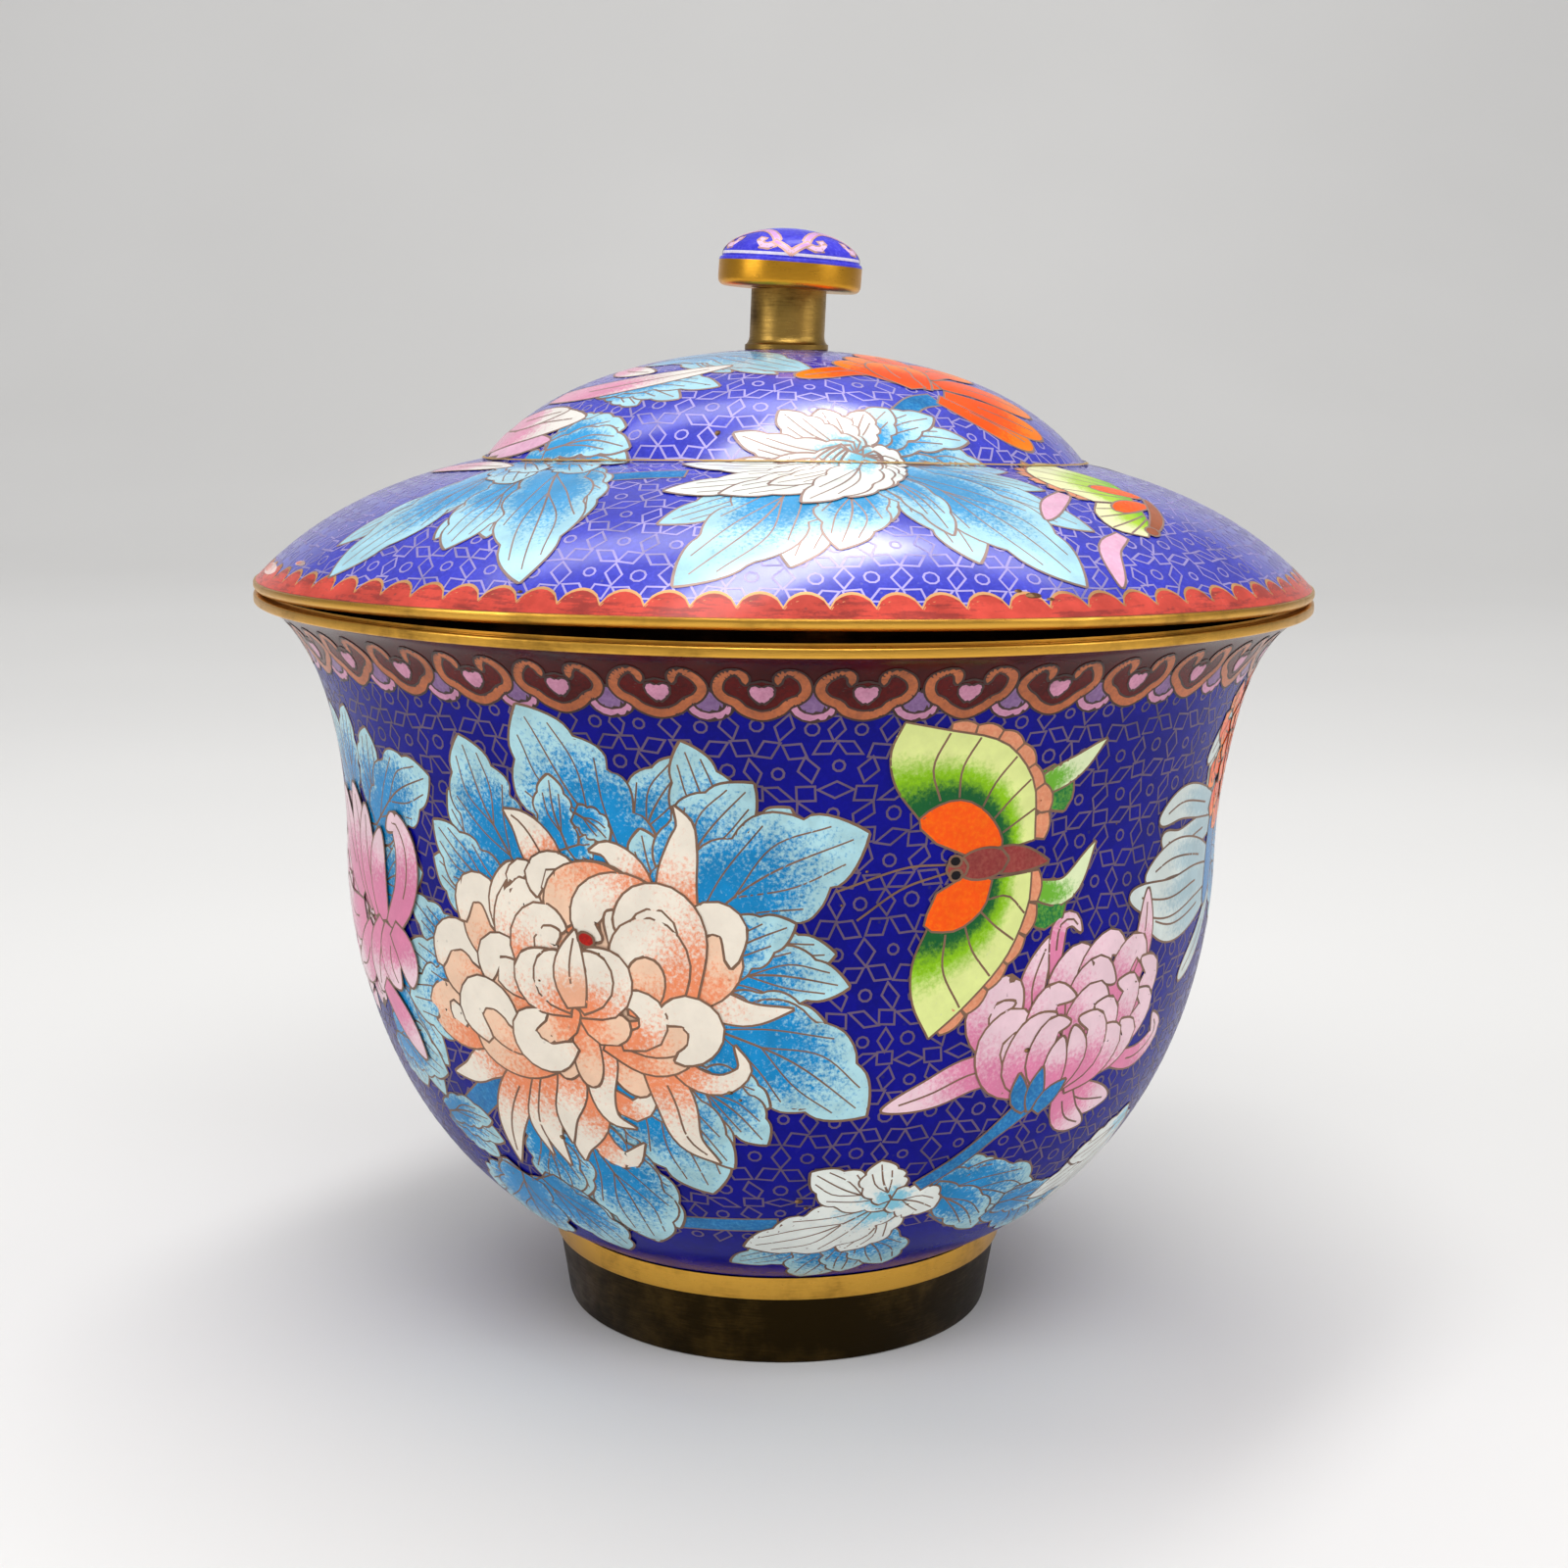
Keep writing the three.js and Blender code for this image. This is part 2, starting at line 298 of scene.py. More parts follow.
BOWL_OUTER = run(BOWL_CURVE, 60) + run(FLARE_CURVE, 44)[1:]
LID_OUTER = run(SLOPE_CURVE, 52) + run(DOME_CURVE, 60)[1:]
STEM_FOOT = LID_BASE + DOME_CURVE[2][1] + SEAT_GAP
CAP_FOOT = STEM_FOOT + STEM_HEIGHT + SEAT_GAP
CAP_PLACE = (
    Matrix.Translation((
        STEM_HEIGHT * math.tan(STEM_LEAN), 0, CAP_FOOT + STEM_RADIUS * math.sin(CAP_LEAN)))
    @ Matrix.Rotation(CAP_LEAN, 4, "Y")
)
CAP_OUTER = [
    Vector(((CAP_RADIUS - CAP_EDGE_TAPER) * math.cos(a), CAP_EDGE + CAP_DOME * math.sin(a)))
    for a in [math.pi / 2 * i / 24 for i in range(25)]
]


def as_it_is(point):
    return point


def lid_place(point):
    return Vector((point.x, point.y, point.z + LID_BASE + warp_rise(point.x, point.y)))


def cap_place(point):
    return CAP_PLACE @ point


class Face:
    """The enamelled face of a turned piece, with a flat chart: x runs round it, y up its outline."""

    def __init__(self, outline, unit, place, aim, skip=0.0):
        self.unit = unit
        self.place = place
        self.aim = aim
        self.radii = [here.x for here in outline]
        self.heights = [here.y for here in outline]
        self.lengths = [-skip]
        self.even = [0]
        self.top = {}
        for a, b in zip(outline, outline[1:]):
            self.lengths.append(self.lengths[-1] + (b - a).length)
            step = self.lengths[-1] - self.lengths[-2]
            self.even.append(self.even[-1] + step * unit / max((b.x + a.x) / 2, LEAST_RADIUS))

    def find(self, values, wanted):
        """The step of a rising or falling list of values that holds the wanted one."""
        rising = values[-1] > values[0]
        low, high = 0, len(values) - 1
        while high - low > 1:
            middle = (low + high) // 2
            if (values[middle] <= wanted) == rising:
                low = middle
            else:
                high = middle
        return low

    def at(self, y):
        """The step of the outline at a height of the chart, the share along it and the radius."""
        i = self.find(self.lengths, y)
        share = (y - self.lengths[i]) / (self.lengths[i + 1] - self.lengths[i])
        return i, share, self.radii[i] + (self.radii[i + 1] - self.radii[i]) * share

    def scale(self, y):
        """Real millimetres for each millimetre of the chart's x, at a height of the chart."""
        return max(self.at(y)[2], LEAST_RADIUS) / self.unit

    def level(self, y):
        """A height of the plain chart as a height of the even one, on which shapes stay true."""
        i = self.find(self.lengths, y)
        return self.even[i] + (y - self.lengths[i]) / self.scale(y)

    def tangent(self, i):
        i = max(0, min(i, len(self.radii) - 2))
        step = Vector((self.radii[i + 1] - self.radii[i], self.heights[i + 1] - self.heights[i]))
        return step.normalized()

    def stand(self, x, y):
        """The place on the face for a chart place, and the direction that points out of it."""
        i, share, radius = self.at(y)
        height = self.heights[i] + (self.heights[i + 1] - self.heights[i]) * share
        if share < 0.5:
            slope = self.tangent(i - 1).lerp(self.tangent(i), share + 0.5)
        else:
            slope = self.tangent(i).lerp(self.tangent(i + 1), share - 0.5)
        slope.normalize()
        angle = x / self.unit
        spot = Vector((radius * math.sin(angle), -radius * math.cos(angle), height))
        away = Vector((slope.y * math.sin(angle), -slope.y * math.cos(angle), -slope.x))
        return self.place(spot), self.aim(spot, away)

    def claim(self, spots):
        """The lowest layer that lies over all that was laid on these spots before."""
        cells = {(round(x / CLAIM_CELL), round(y / CLAIM_CELL)) for x, y in spots}
        layer = 1 + max(self.top.get(c, 0) for c in cells)
        for c in cells:
            self.top[c] = layer
        return layer


def foot_skip():
    """Length of the bowl's outline from the middle to where its chart starts."""
    length = 0
    for a, b in zip(BOWL_OUTER, BOWL_OUTER[1:]):
        if b.x > CHART_START:
            return length + (CHART_START - a.x) / (b.x - a.x) * (b - a).length
        length += (b - a).length
    return length


def lid_aim(point, out):
    """The outward direction, leaned by the lid's warp."""
    step = 0.5
    lean_x = (warp_rise(point.x + step, point.y) - warp_rise(point.x - step, point.y)) / (2 * step)
    lean_y = (warp_rise(point.x, point.y + step) - warp_rise(point.x, point.y - step)) / (2 * step)
    return Vector((out.x - lean_x * out.z, out.y - lean_y * out.z, out.z)).normalized()


BOWL_FACE = Face(BOWL_OUTER, CHART_RADIUS, as_it_is, lambda point, out: out, foot_skip())
LID_FACE = Face(LID_OUTER, CHART_RADIUS, lid_place, lid_aim)
CAP_FACE = Face(
    CAP_OUTER, CAP_CHART_RADIUS, cap_place, lambda point, out: CAP_PLACE.to_3x3() @ out)


# Materials

def group_nodes(name, colours_in, numbers_in):
    """A node group that gives a colour, a roughness and a height, with its two ends."""
    tree = bpy.data.node_groups.new(name, "ShaderNodeTree")
    for side, kind, labels in (
            ("INPUT", "Color", colours_in), ("INPUT", "Float", numbers_in),
            ("OUTPUT", "Color", ("Color",)), ("OUTPUT", "Float", ("Roughness", "Height"))):
        for label in labels:
            tree.interface.new_socket(label, in_out=side, socket_type="NodeSocket" + kind)
    given = tree.nodes.new("NodeGroupInput").outputs
    return tree, given, tree.nodes.new("NodeGroupOutput").inputs


def feed(tree, socket, value):
    """Sets an input to a number or a colour, or links another node's output to it."""
    if isinstance(value, bpy.types.NodeSocket):
        tree.links.new(value, socket)
    else:
        socket.default_value = (*value, 1) if socket.type == "RGBA" else value


def node(tree, kind, inputs, output=0, **settings):
    """A shader node with its settings and its inputs; gives one of its outputs."""
    made = tree.nodes.new("ShaderNode" + kind)
    for label, value in settings.items():
        setattr(made, label, value)
    for label, value in inputs.items():
        feed(tree, made.inputs[label], value)
    return made.outputs[output]


def object_place(tree):
    return node(tree, "TexCoord", {}, "Object")


def noise_node(tree, vector, scale, detail, roughness=0.5):
    return node(
        tree, "TexNoise",
        {"Vector": vector, "Scale": scale, "Detail": detail, "Roughness": roughness}, "Fac")


def streaks_node(tree, stretch, scale):
    """Noise drawn out in level streaks."""
    drawn = node(tree, "Mapping", {"Vector": object_place(tree), "Scale": (1, 1, stretch)})
    return noise_node(tree, drawn, scale, 4, 0.7)


def math_node(tree, operation, first, second, clamp=False):
    return node(tree, "Math", {0: first, 1: second}, operation=operation, use_clamp=clamp)


def add(tree, first, second, clamp=False):
    return math_node(tree, "ADD", first, second, clamp)


def times(tree, first, second):
    return math_node(tree, "MULTIPLY", first, second)


def range_node(tree, value, low, high, to_low=0, to_high=1):
    return node(
        tree, "MapRange",
        {"Value": value, "From Min": low, "From Max": high, "To Min": to_low, "To Max": to_high},
        interpolation_type="SMOOTHSTEP")


def mix_node(tree, factor, first, second):
    return node(tree, "Mix", {0: factor, 6: first, 7: second}, 2, data_type="RGBA")


def fired_enamel():
    """Ground glass fired in a cell: two colours that meet in a grainy blend, mottle and pits."""
    tree, given, end = group_nodes(
        "Fired enamel", ("Base", "Tip"), ("Blend", "Grain", "Mottle", "Pits"))
    place = object_place(tree)
    grain = noise_node(tree, place, GRAIN_SCALE, 3, 0.65)
    cloud = noise_node(tree, place, CLOUD_SCALE, 4, 0.6)
    broad = noise_node(tree, place, BROAD_SCALE, 2)
    swing = times(tree, math_node(tree, "SUBTRACT", grain, 0.5), given["Grain"])
    blend = add(tree, given["Blend"], times(tree, swing, 2.6), clamp=True)
    colour = mix_node(tree, range_node(tree, blend, 0.12, 0.88), given["Base"], given["Tip"])
    uneven = add(tree, times(tree, cloud, 0.6), times(tree, broad, 0.4))
    uneven = times(tree, range_node(tree, uneven, 0.36, 0.64, -0.5, 0.5), given["Mottle"])
    bright = node(
        tree, "VectorMath", {0: colour, "Scale": add(tree, uneven, 1)}, operation="SCALE")
    spots = node(
        tree, "TexVoronoi", {"Vector": place, "Scale": PIT_SCALE, "Randomness": 1}, "Distance")
    rare = range_node(tree, noise_node(tree, place, PIT_AREA_SCALE, 1), 0.56, 0.66)
    pit = times(tree, times(tree, range_node(tree, spots, 0.06, 0.17, 1, 0), rare), given["Pits"])
    rough = add(tree, times(tree, cloud, 0.16), times(tree, pit, 0.5))
    feed(tree, end["Color"], mix_node(tree, pit, bright, PIT_COLOUR))
    feed(tree, end["Roughness"], add(tree, rough, 0.16))
    feed(tree, end["Height"], math_node(tree, "SUBTRACT", times(tree, cloud, 0.25), pit))
    return tree


def worn_brass():
    """Gilt metal with tarnish in patches and fine turned scratches."""
    tree, given, end = group_nodes("Worn brass", ("Bright", "Tarnish"), ("Tarnished",))
    patch = noise_node(tree, object_place(tree), TARNISH_SCALE, 5, 0.62)
    scratch = streaks_node(tree, SCRATCH_STRETCH, SCRATCH_SCALE)
    amount = add(tree, patch, times(tree, given["Tarnished"], 0.6))
    amount = add(tree, amount, times(tree, scratch, 0.25))
    amount = range_node(tree, amount, 0.72, 1.12)
    rough = add(tree, times(tree, amount, 0.22), times(tree, scratch, 0.2))
    feed(tree, end["Color"], mix_node(tree, amount, given["Bright"], given["Tarnish"]))
    feed(tree, end["Roughness"], add(tree, rough, 0.2))
    feed(tree, end["Height"], scratch)
    return tree


def new_material(name):
    material = bpy.data.materials.new(name)
    material.use_nodes = True
    tree = material.node_tree
    return material, tree, tree.nodes["Principled BSDF"].inputs


def coated(name, group, inputs, looks, bump=0):
    """A material fed by a shared node group, which also gives its roughness and relief if it has
    bump. Gives the material and the inputs of the group."""
    material, tree, shader = new_material(name)
    made = tree.nodes.new("ShaderNodeGroup")
    made.node_tree = bpy.data.node_groups.get(group) or GROUPS[group]()
    for label, value in inputs.items():
        feed(tree, made.inputs[label], value)
    for label, value in looks.items():
        feed(tree, shader[label], value)
    feed(tree, shader["Base Color"], made.outputs["Color"])
    if bump:
        feed(tree, shader["Roughness"], made.outputs["Roughness"])
        feed(tree, shader["Normal"], node(tree, "Bump", {
            "Strength": bump, "Distance": RELIEF_DEPTH, "Height": made.outputs["Height"]}))
    return material, made.inputs


GROUPS = {"Fired enamel": fired_enamel, "Worn brass": worn_brass}


def across_edge(tree):
    """The share along a field, and the share from its middle to its long edges."""
    uv = node(tree, "UVMap", {}, "UV", uv_map="UVMap")
    along = node(tree, "SeparateXYZ", {"Vector": uv}, "X")
    side = math_node(tree, "SUBTRACT", along.node.outputs["Y"], 0.5)
    return along, times(tree, math_node(tree, "ABSOLUTE", side, 0), 2)


def enamel(name, base, tip, blend=0.0, grain=0.4, mottle=0.25, pits=0.25, gloss=0.1):
    """An enamel. blend is a number, or (start, end, edge): where the tip's colour takes over along a
    field, and how much of it comes in at the long edges."""
    material, glass_in = coated(
        name, "Fired enamel",
        {"Base": base, "Tip": tip, "Grain": grain, "Mottle": mottle, "Pits": pits},
        {"Specular IOR Level": gloss, "Coat Weight": gloss, "Coat Roughness": 0.14}, 0.12)
    tree = material.node_tree
    if blend == "streaks":
        blend = range_node(tree, streaks_node(tree, GLAZE_STRETCH, GLAZE_STREAK_SCALE), 0.42, 0.66)
    elif isinstance(blend, tuple):
        start, end, edge = blend
        along, side = across_edge(tree)
        side = times(tree, range_node(tree, side, 0.45, 1), edge)
        blend = add(tree, range_node(tree, along, start, end), side, clamp=True)
    feed(tree, glass_in["Blend"], blend)
    return material


def tone(colour):
    """A colour given as screen values, or as the name of one of the urn's colours."""
    if isinstance(colour, str):
        return tuple(getattr(bpy.context.scene.urn_colours, colour))
    return shade(*colour)


def glass(name):
    """One of the enamels, made when it is first asked for."""
    base, tip, *looks = ENAMELS[name]
    name += " enamel"
    return bpy.data.materials.get(name) or enamel(name, tone(base), tone(tip), *looks)


def brass(name, bump=0.15):
    """One of the metals, made when it is first asked for."""
    bright, tarnish, tarnished = METALS[name]
    return bpy.data.materials.get(name) or coated(
        name, "Worn brass",
        {"Bright": tone(bright), "Tarnish": tone(tarnish), "Tarnished": tarnished},
        {"Metallic": 1}, bump)[0]


def wire(name):
    """One of the laid wires, polished flush and dulled."""
    colour = shade(*WIRES[name])
    name += " wire"
    return bpy.data.materials.get(name) or coated(
        name, "Worn brass",
        {"Bright": colour, "Tarnish": tuple(c * 0.45 for c in colour), "Tarnished": 0.35},
        {"Roughness": 0.42, "Metallic": 0.35})[0]


# Turned bodies

def show(name, bm, materials, replaced):
    mesh = bpy.data.meshes.new(name)
    bm.to_mesh(mesh)
    bm.free()
    for material in materials:
        mesh.materials.append(material)
    piece = bpy.data.objects.new(name, mesh)
    bpy.context.scene.collection.objects.link(piece)
    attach(piece, "root")
    for node in replaced:
        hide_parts(node)
    return piece


def turn(outline, closed, steps, place, sort_face):
    """Spins an outline of radius and height round the middle, then puts it in its place."""
    bm = bmesh.new()
    spots = [bm.verts.new((0, -p.x, p.y)) for p in outline]
    if closed:
        spots.append(spots[0])
    for pair in zip(spots, spots[1:]):
        bm.edges.new(pair)
    bmesh.ops.spin(
        bm, geom=bm.verts[:] + bm.edges[:], cent=(0, 0, 0), axis=(0, 0, 1), dvec=(0, 0, 0),
        angle=math.tau, steps=steps, use_merge=True, use_duplicate=False)
    bmesh.ops.remove_doubles(bm, verts=bm.verts, dist=0.003)
    bmesh.ops.recalc_face_normals(bm, faces=bm.faces)
    for face in bm.faces:
        face.smooth = True
        middle = face.calc_center_median()
        face.material_index = sort_face(face, math.hypot(middle.x, middle.y), middle.z)
    for vert in bm.verts:
        vert.co = place(vert.co) * MM
    return bm


def corners(*pairs):
    return [Vector(pair) for pair in pairs]


def all_one(face, reach, height):
    return 0


def crisp(piece, degrees=38):
    piece.data.set_sharp_from_angle(angle=math.radians(degrees))
    return piece


def looks_inward(face):
    middle = face.calc_center_median()
    reach = Vector((middle.x, middle.y, 0))
    if reach.length < 12:
        return face.normal.z > 0
    return face.normal.dot(reach.normalized() - Vector((0, 0, 0.6))) < 0


def make_bowl():
    top = BOWL_OUTER[-1]
    inside = inner_face(BOWL_OUTER, BOWL_WALL)
    mouth = inside[-1]
    inside[0].x = 0
    inside.reverse()
    edge = []
    for height, up, start in ((top.y, 1, -90), (RIM_HEIGHT, -1, 0)):
        middle = Vector((RIM_RADIUS - RIM_ROUND, height + up * RIM_ROUND))
        for i in range(5):
            angle = math.radians(start + 90 * i / 4)
            edge.append(middle + RIM_ROUND * Vector((math.cos(angle), math.sin(angle))))
    crown = corners((mouth.x + 0.5, RIM_HEIGHT), (mouth.x, RIM_HEIGHT - 0.5))

    def sort_face(face, reach, height):
        if height > top.y - 0.05:
            return 1
        if looks_inward(face):
            return 2
        return 3 if height > BORDER_BOTTOM and reach > BORDER_REACH else 0

    bm = turn(BOWL_OUTER + edge + crown + inside, False, TURN_STEPS, as_it_is, sort_face)
    finishes = [glass("bowl ground"), brass("gilt edge"), glass("lining"), glass("border ground")]
    return crisp(show("bowl_body", bm, finishes, ["bowl"]))


def make_foot():
    wall_top = FOOT_BAND_RADIUS - FOOT_BAND_STEP
    inside = wall_top - FOOT_WALL
    outline = corners(
        (FOOT_RADIUS - FOOT_ROUND, 0), (FOOT_RADIUS - CORNER, CORNER), (FOOT_RADIUS, FOOT_ROUND),
        (wall_top, FOOT_BAND_HEIGHT), (FOOT_BAND_RADIUS - CORNER, FOOT_BAND_HEIGHT + 0.15),
        (FOOT_BAND_RADIUS, FOOT_BAND_HEIGHT + FOOT_BAND_STEP),
        (FOOT_BAND_RADIUS, height_at(BOWL_OUTER, FOOT_BAND_RADIUS) - SEAT_GAP),
        (inside, height_at(BOWL_OUTER, inside) - SEAT_GAP), (FOOT_RADIUS - FOOT_WALL, 0))

    def sort_face(face, reach, height):
        return 1 if height > FOOT_BAND_HEIGHT - CORNER and reach > FOOT_BAND_REACH else 0

    bm = turn(outline, True, FOOT_STEPS, as_it_is, sort_face)
    # The foot wall's dark brass is tarnish and painted shade under the gilt band.
    finishes = [brass("foot wall brass"), brass("gilt edge")]
    return crisp(show("foot_body", bm, finishes, ["foot_ring"]), 28)


def make_lid():
    inner = inner_face(LID_OUTER, LID_WALL)
    underside = RIM_RADIUS - LID_EDGE_WIDTH
    inside = [p for p in reversed(inner) if p.x < underside]
    inside[0].x = 0
    edge = RIM_RADIUS - LID_CHAMFER
    outline = inside + corners(
        (underside, height_at(inner, underside)), (underside, 0), (edge - 0.1, 0),
        (edge + 0.15, 0.1), (RIM_RADIUS - 0.1, LID_CHAMFER - 0.15),
        (RIM_RADIUS, LID_CHAMFER + 0.1), (RIM_RADIUS, LID_EDGE - RIM_ROUND),
        (RIM_RADIUS - 0.1, LID_EDGE - 0.1)) + LID_OUTER

    def sort_face(face, reach, height):
        if height < LID_EDGE and reach > underside - 0.1:
            return 1
        return 2 if face.normal.z < 0 else 0

    bm = turn(outline, False, TURN_STEPS, lid_place, sort_face)
    # The lid's ground enamel is lighter than the bowl's, as painted light from above.
    finishes = [glass("lid ground"), brass("gilt edge"), glass("lining")]
    return crisp(show("lid_body", bm, finishes, ["lid"]))


def make_collar():
    inner = inner_face(LID_OUTER, LID_WALL)
    inside = COLLAR_OUTSIDE - COLLAR_WALL
    outline = corners(
        (inside + CORNER, -COLLAR_DEPTH), (COLLAR_OUTSIDE - CORNER, -COLLAR_DEPTH),
        (COLLAR_OUTSIDE, -COLLAR_DEPTH + CORNER),
        (COLLAR_OUTSIDE, height_at(inner, COLLAR_OUTSIDE) - SEAT_GAP),
        (inside, height_at(inner, inside) - SEAT_GAP), (inside, -COLLAR_DEPTH + CORNER))
    bm = turn(outline, True, TURN_STEPS, lid_place, all_one)
    # Near-black brass: dark brass and painted shade of the gap under the lid.
    dark = brass("collar brass")
    return crisp(show("collar_body", bm, [dark], ["lid_collar"]))


def make_stem():
    top = STEM_HEIGHT + STEM_SUNK
    outline = corners(
        (0, -STEM_SEAT), (STEM_BASE_RADIUS - CORNER, -STEM_SEAT),
        (STEM_BASE_RADIUS, CORNER - STEM_SEAT))
    outline += run(((STEM_BASE_RADIUS, 0.5), (STEM_RADIUS, 0.9), (STEM_RADIUS, 2.4)), 5)
    outline += corners((STEM_RADIUS, top), (0, top))

    def lean(point):
        return Vector((point.x + point.z * math.tan(STEM_LEAN), point.y, point.z + STEM_FOOT))

    bm = turn(outline, False, STEM_STEPS, lean, all_one)
    olive = brass("stem brass", 0.3)
    return crisp(show("stem_body", bm, [olive], ["knob_stem"]))


def make_cap():
    outline = corners((0, 0))
    outline += run(
        ((CAP_RADIUS - CAP_UNDERCUT, 0), (CAP_RADIUS, 0), (CAP_RADIUS, CAP_UNDERCUT)), 8)
    outline += run(
        ((CAP_RADIUS, CAP_EDGE - 0.7), (CAP_RADIUS, CAP_EDGE), (CAP_RADIUS - 0.5, CAP_EDGE)), 4)
    outline += CAP_OUTER[1:]
    outline[-1].x = 0

    def sort_face(face, reach, height):
        return 0 if height > CAP_EDGE - 0.75 else 1

    bm = turn(outline, False, CAP_STEPS, cap_place, sort_face)
    finishes = [glass("cap ground"), brass("cap gilt")]
    return crisp(show("cap_body", bm, finishes, ["knob_cap"]), 30)


# Laying fields and wires on a face

class Line:
    """A smooth line through chart places, walked in real millimetres."""

    def __init__(self, face, points):
        self.face = face
        ends = [2 * Vector(points[0]) - Vector(points[1])] + [Vector(p) for p in points]
        ends.append(2 * ends[-1] - ends[-2])
        self.spots = []
        for a, b, c, d in zip(ends, ends[1:], ends[2:], ends[3:]):
            for i in range(10):
                t = i / 10
                self.spots.append(0.5 * (
                    2 * b + (c - a) * t + (2 * a - 5 * b + 4 * c - d) * t * t
                    + (3 * b - a - 3 * c + d) * t ** 3))
        self.spots.append(ends[-2].copy())
        self.lengths = [0]
        for a, b in zip(self.spots, self.spots[1:]):
            self.lengths.append(self.lengths[-1] + self.real(b - a, a.y).length)
        self.length = self.lengths[-1]

    def real(self, step, y):
        return Vector((step.x * self.face.scale(y), step.y))

    def station(self, distance):
        """The chart place at a distance along the line, and the sideways step of 1 mm to its left."""
        last = len(self.lengths) - 2
        i = 0
        while i < last and self.lengths[i + 1] < distance:
            i += 1
        a, b = self.spots[i], self.spots[i + 1]
        span = max(self.lengths[i + 1] - self.lengths[i], 1e-6)
        spot = a + (b - a) * ((distance - self.lengths[i]) / span)
        before, after = self.spots[max(i - 1, 0)], self.spots[min(i + 2, last + 1)]
        along = self.real(after - before, spot.y).normalized()
        return spot, Vector((-along.y / self.face.scale(spot.y), along.x))


def round_petal(share):
    if share < 0.62:
        return 0.42 + 0.58 * math.sin(share / 0.62 * math.pi / 2)
    return math.sqrt(max(0, 1 - ((share - 0.62) / 0.38) ** 2))


def pointed_petal(share):
    if share < 0.4:
        return 0.55 + 0.45 * math.sin(share / 0.4 * math.pi / 2)
    return 1 - ((share - 0.4) / 0.6) ** 1.8


def oval(share):
    return math.sqrt(max(0, 1 - (2 * share - 1) ** 2))


def band(share):
    return 1


def curled_petal(share):
    """Widest in its middle, with a tapering tip that curls in."""
    if share < 0.5:
        return 0.55 + 0.45 * math.sin(share / 0.5 * math.pi / 2)
    return math.cos((share - 0.5) / 0.5 * math.pi / 2) ** 0.65


def rounded_band(share):
    """A stroke of even width with round ends."""
    return min(1, (1 - (2 * share - 1) ** 14) ** 0.5)


def crescent(share):
    """A curled tip, tapering to both ends."""
    return 0.25 + 0.75 * math.sin(math.pi * share ** 0.85) if share < 1 else 0


def stem_taper(share):
    """A stalk that widens to where its flower sits."""
    return 1 - 0.45 * min(1, share * 2.5)


def lobe(share):
    """A leaf's lobe: full, with a few round scallops and a short pointed tip."""
    if share < 0.5:
        body = 0.6 + 0.4 * math.sin(share / 0.5 * math.pi / 2)
    else:
        body = max(0, 1 - ((share - 0.5) / 0.5) ** 2) ** 0.85
    scallop = abs(math.sin(math.pi * (share * 3.7 + 0.2)))
    return body * (0.8 + 0.25 * scallop ** 0.6)


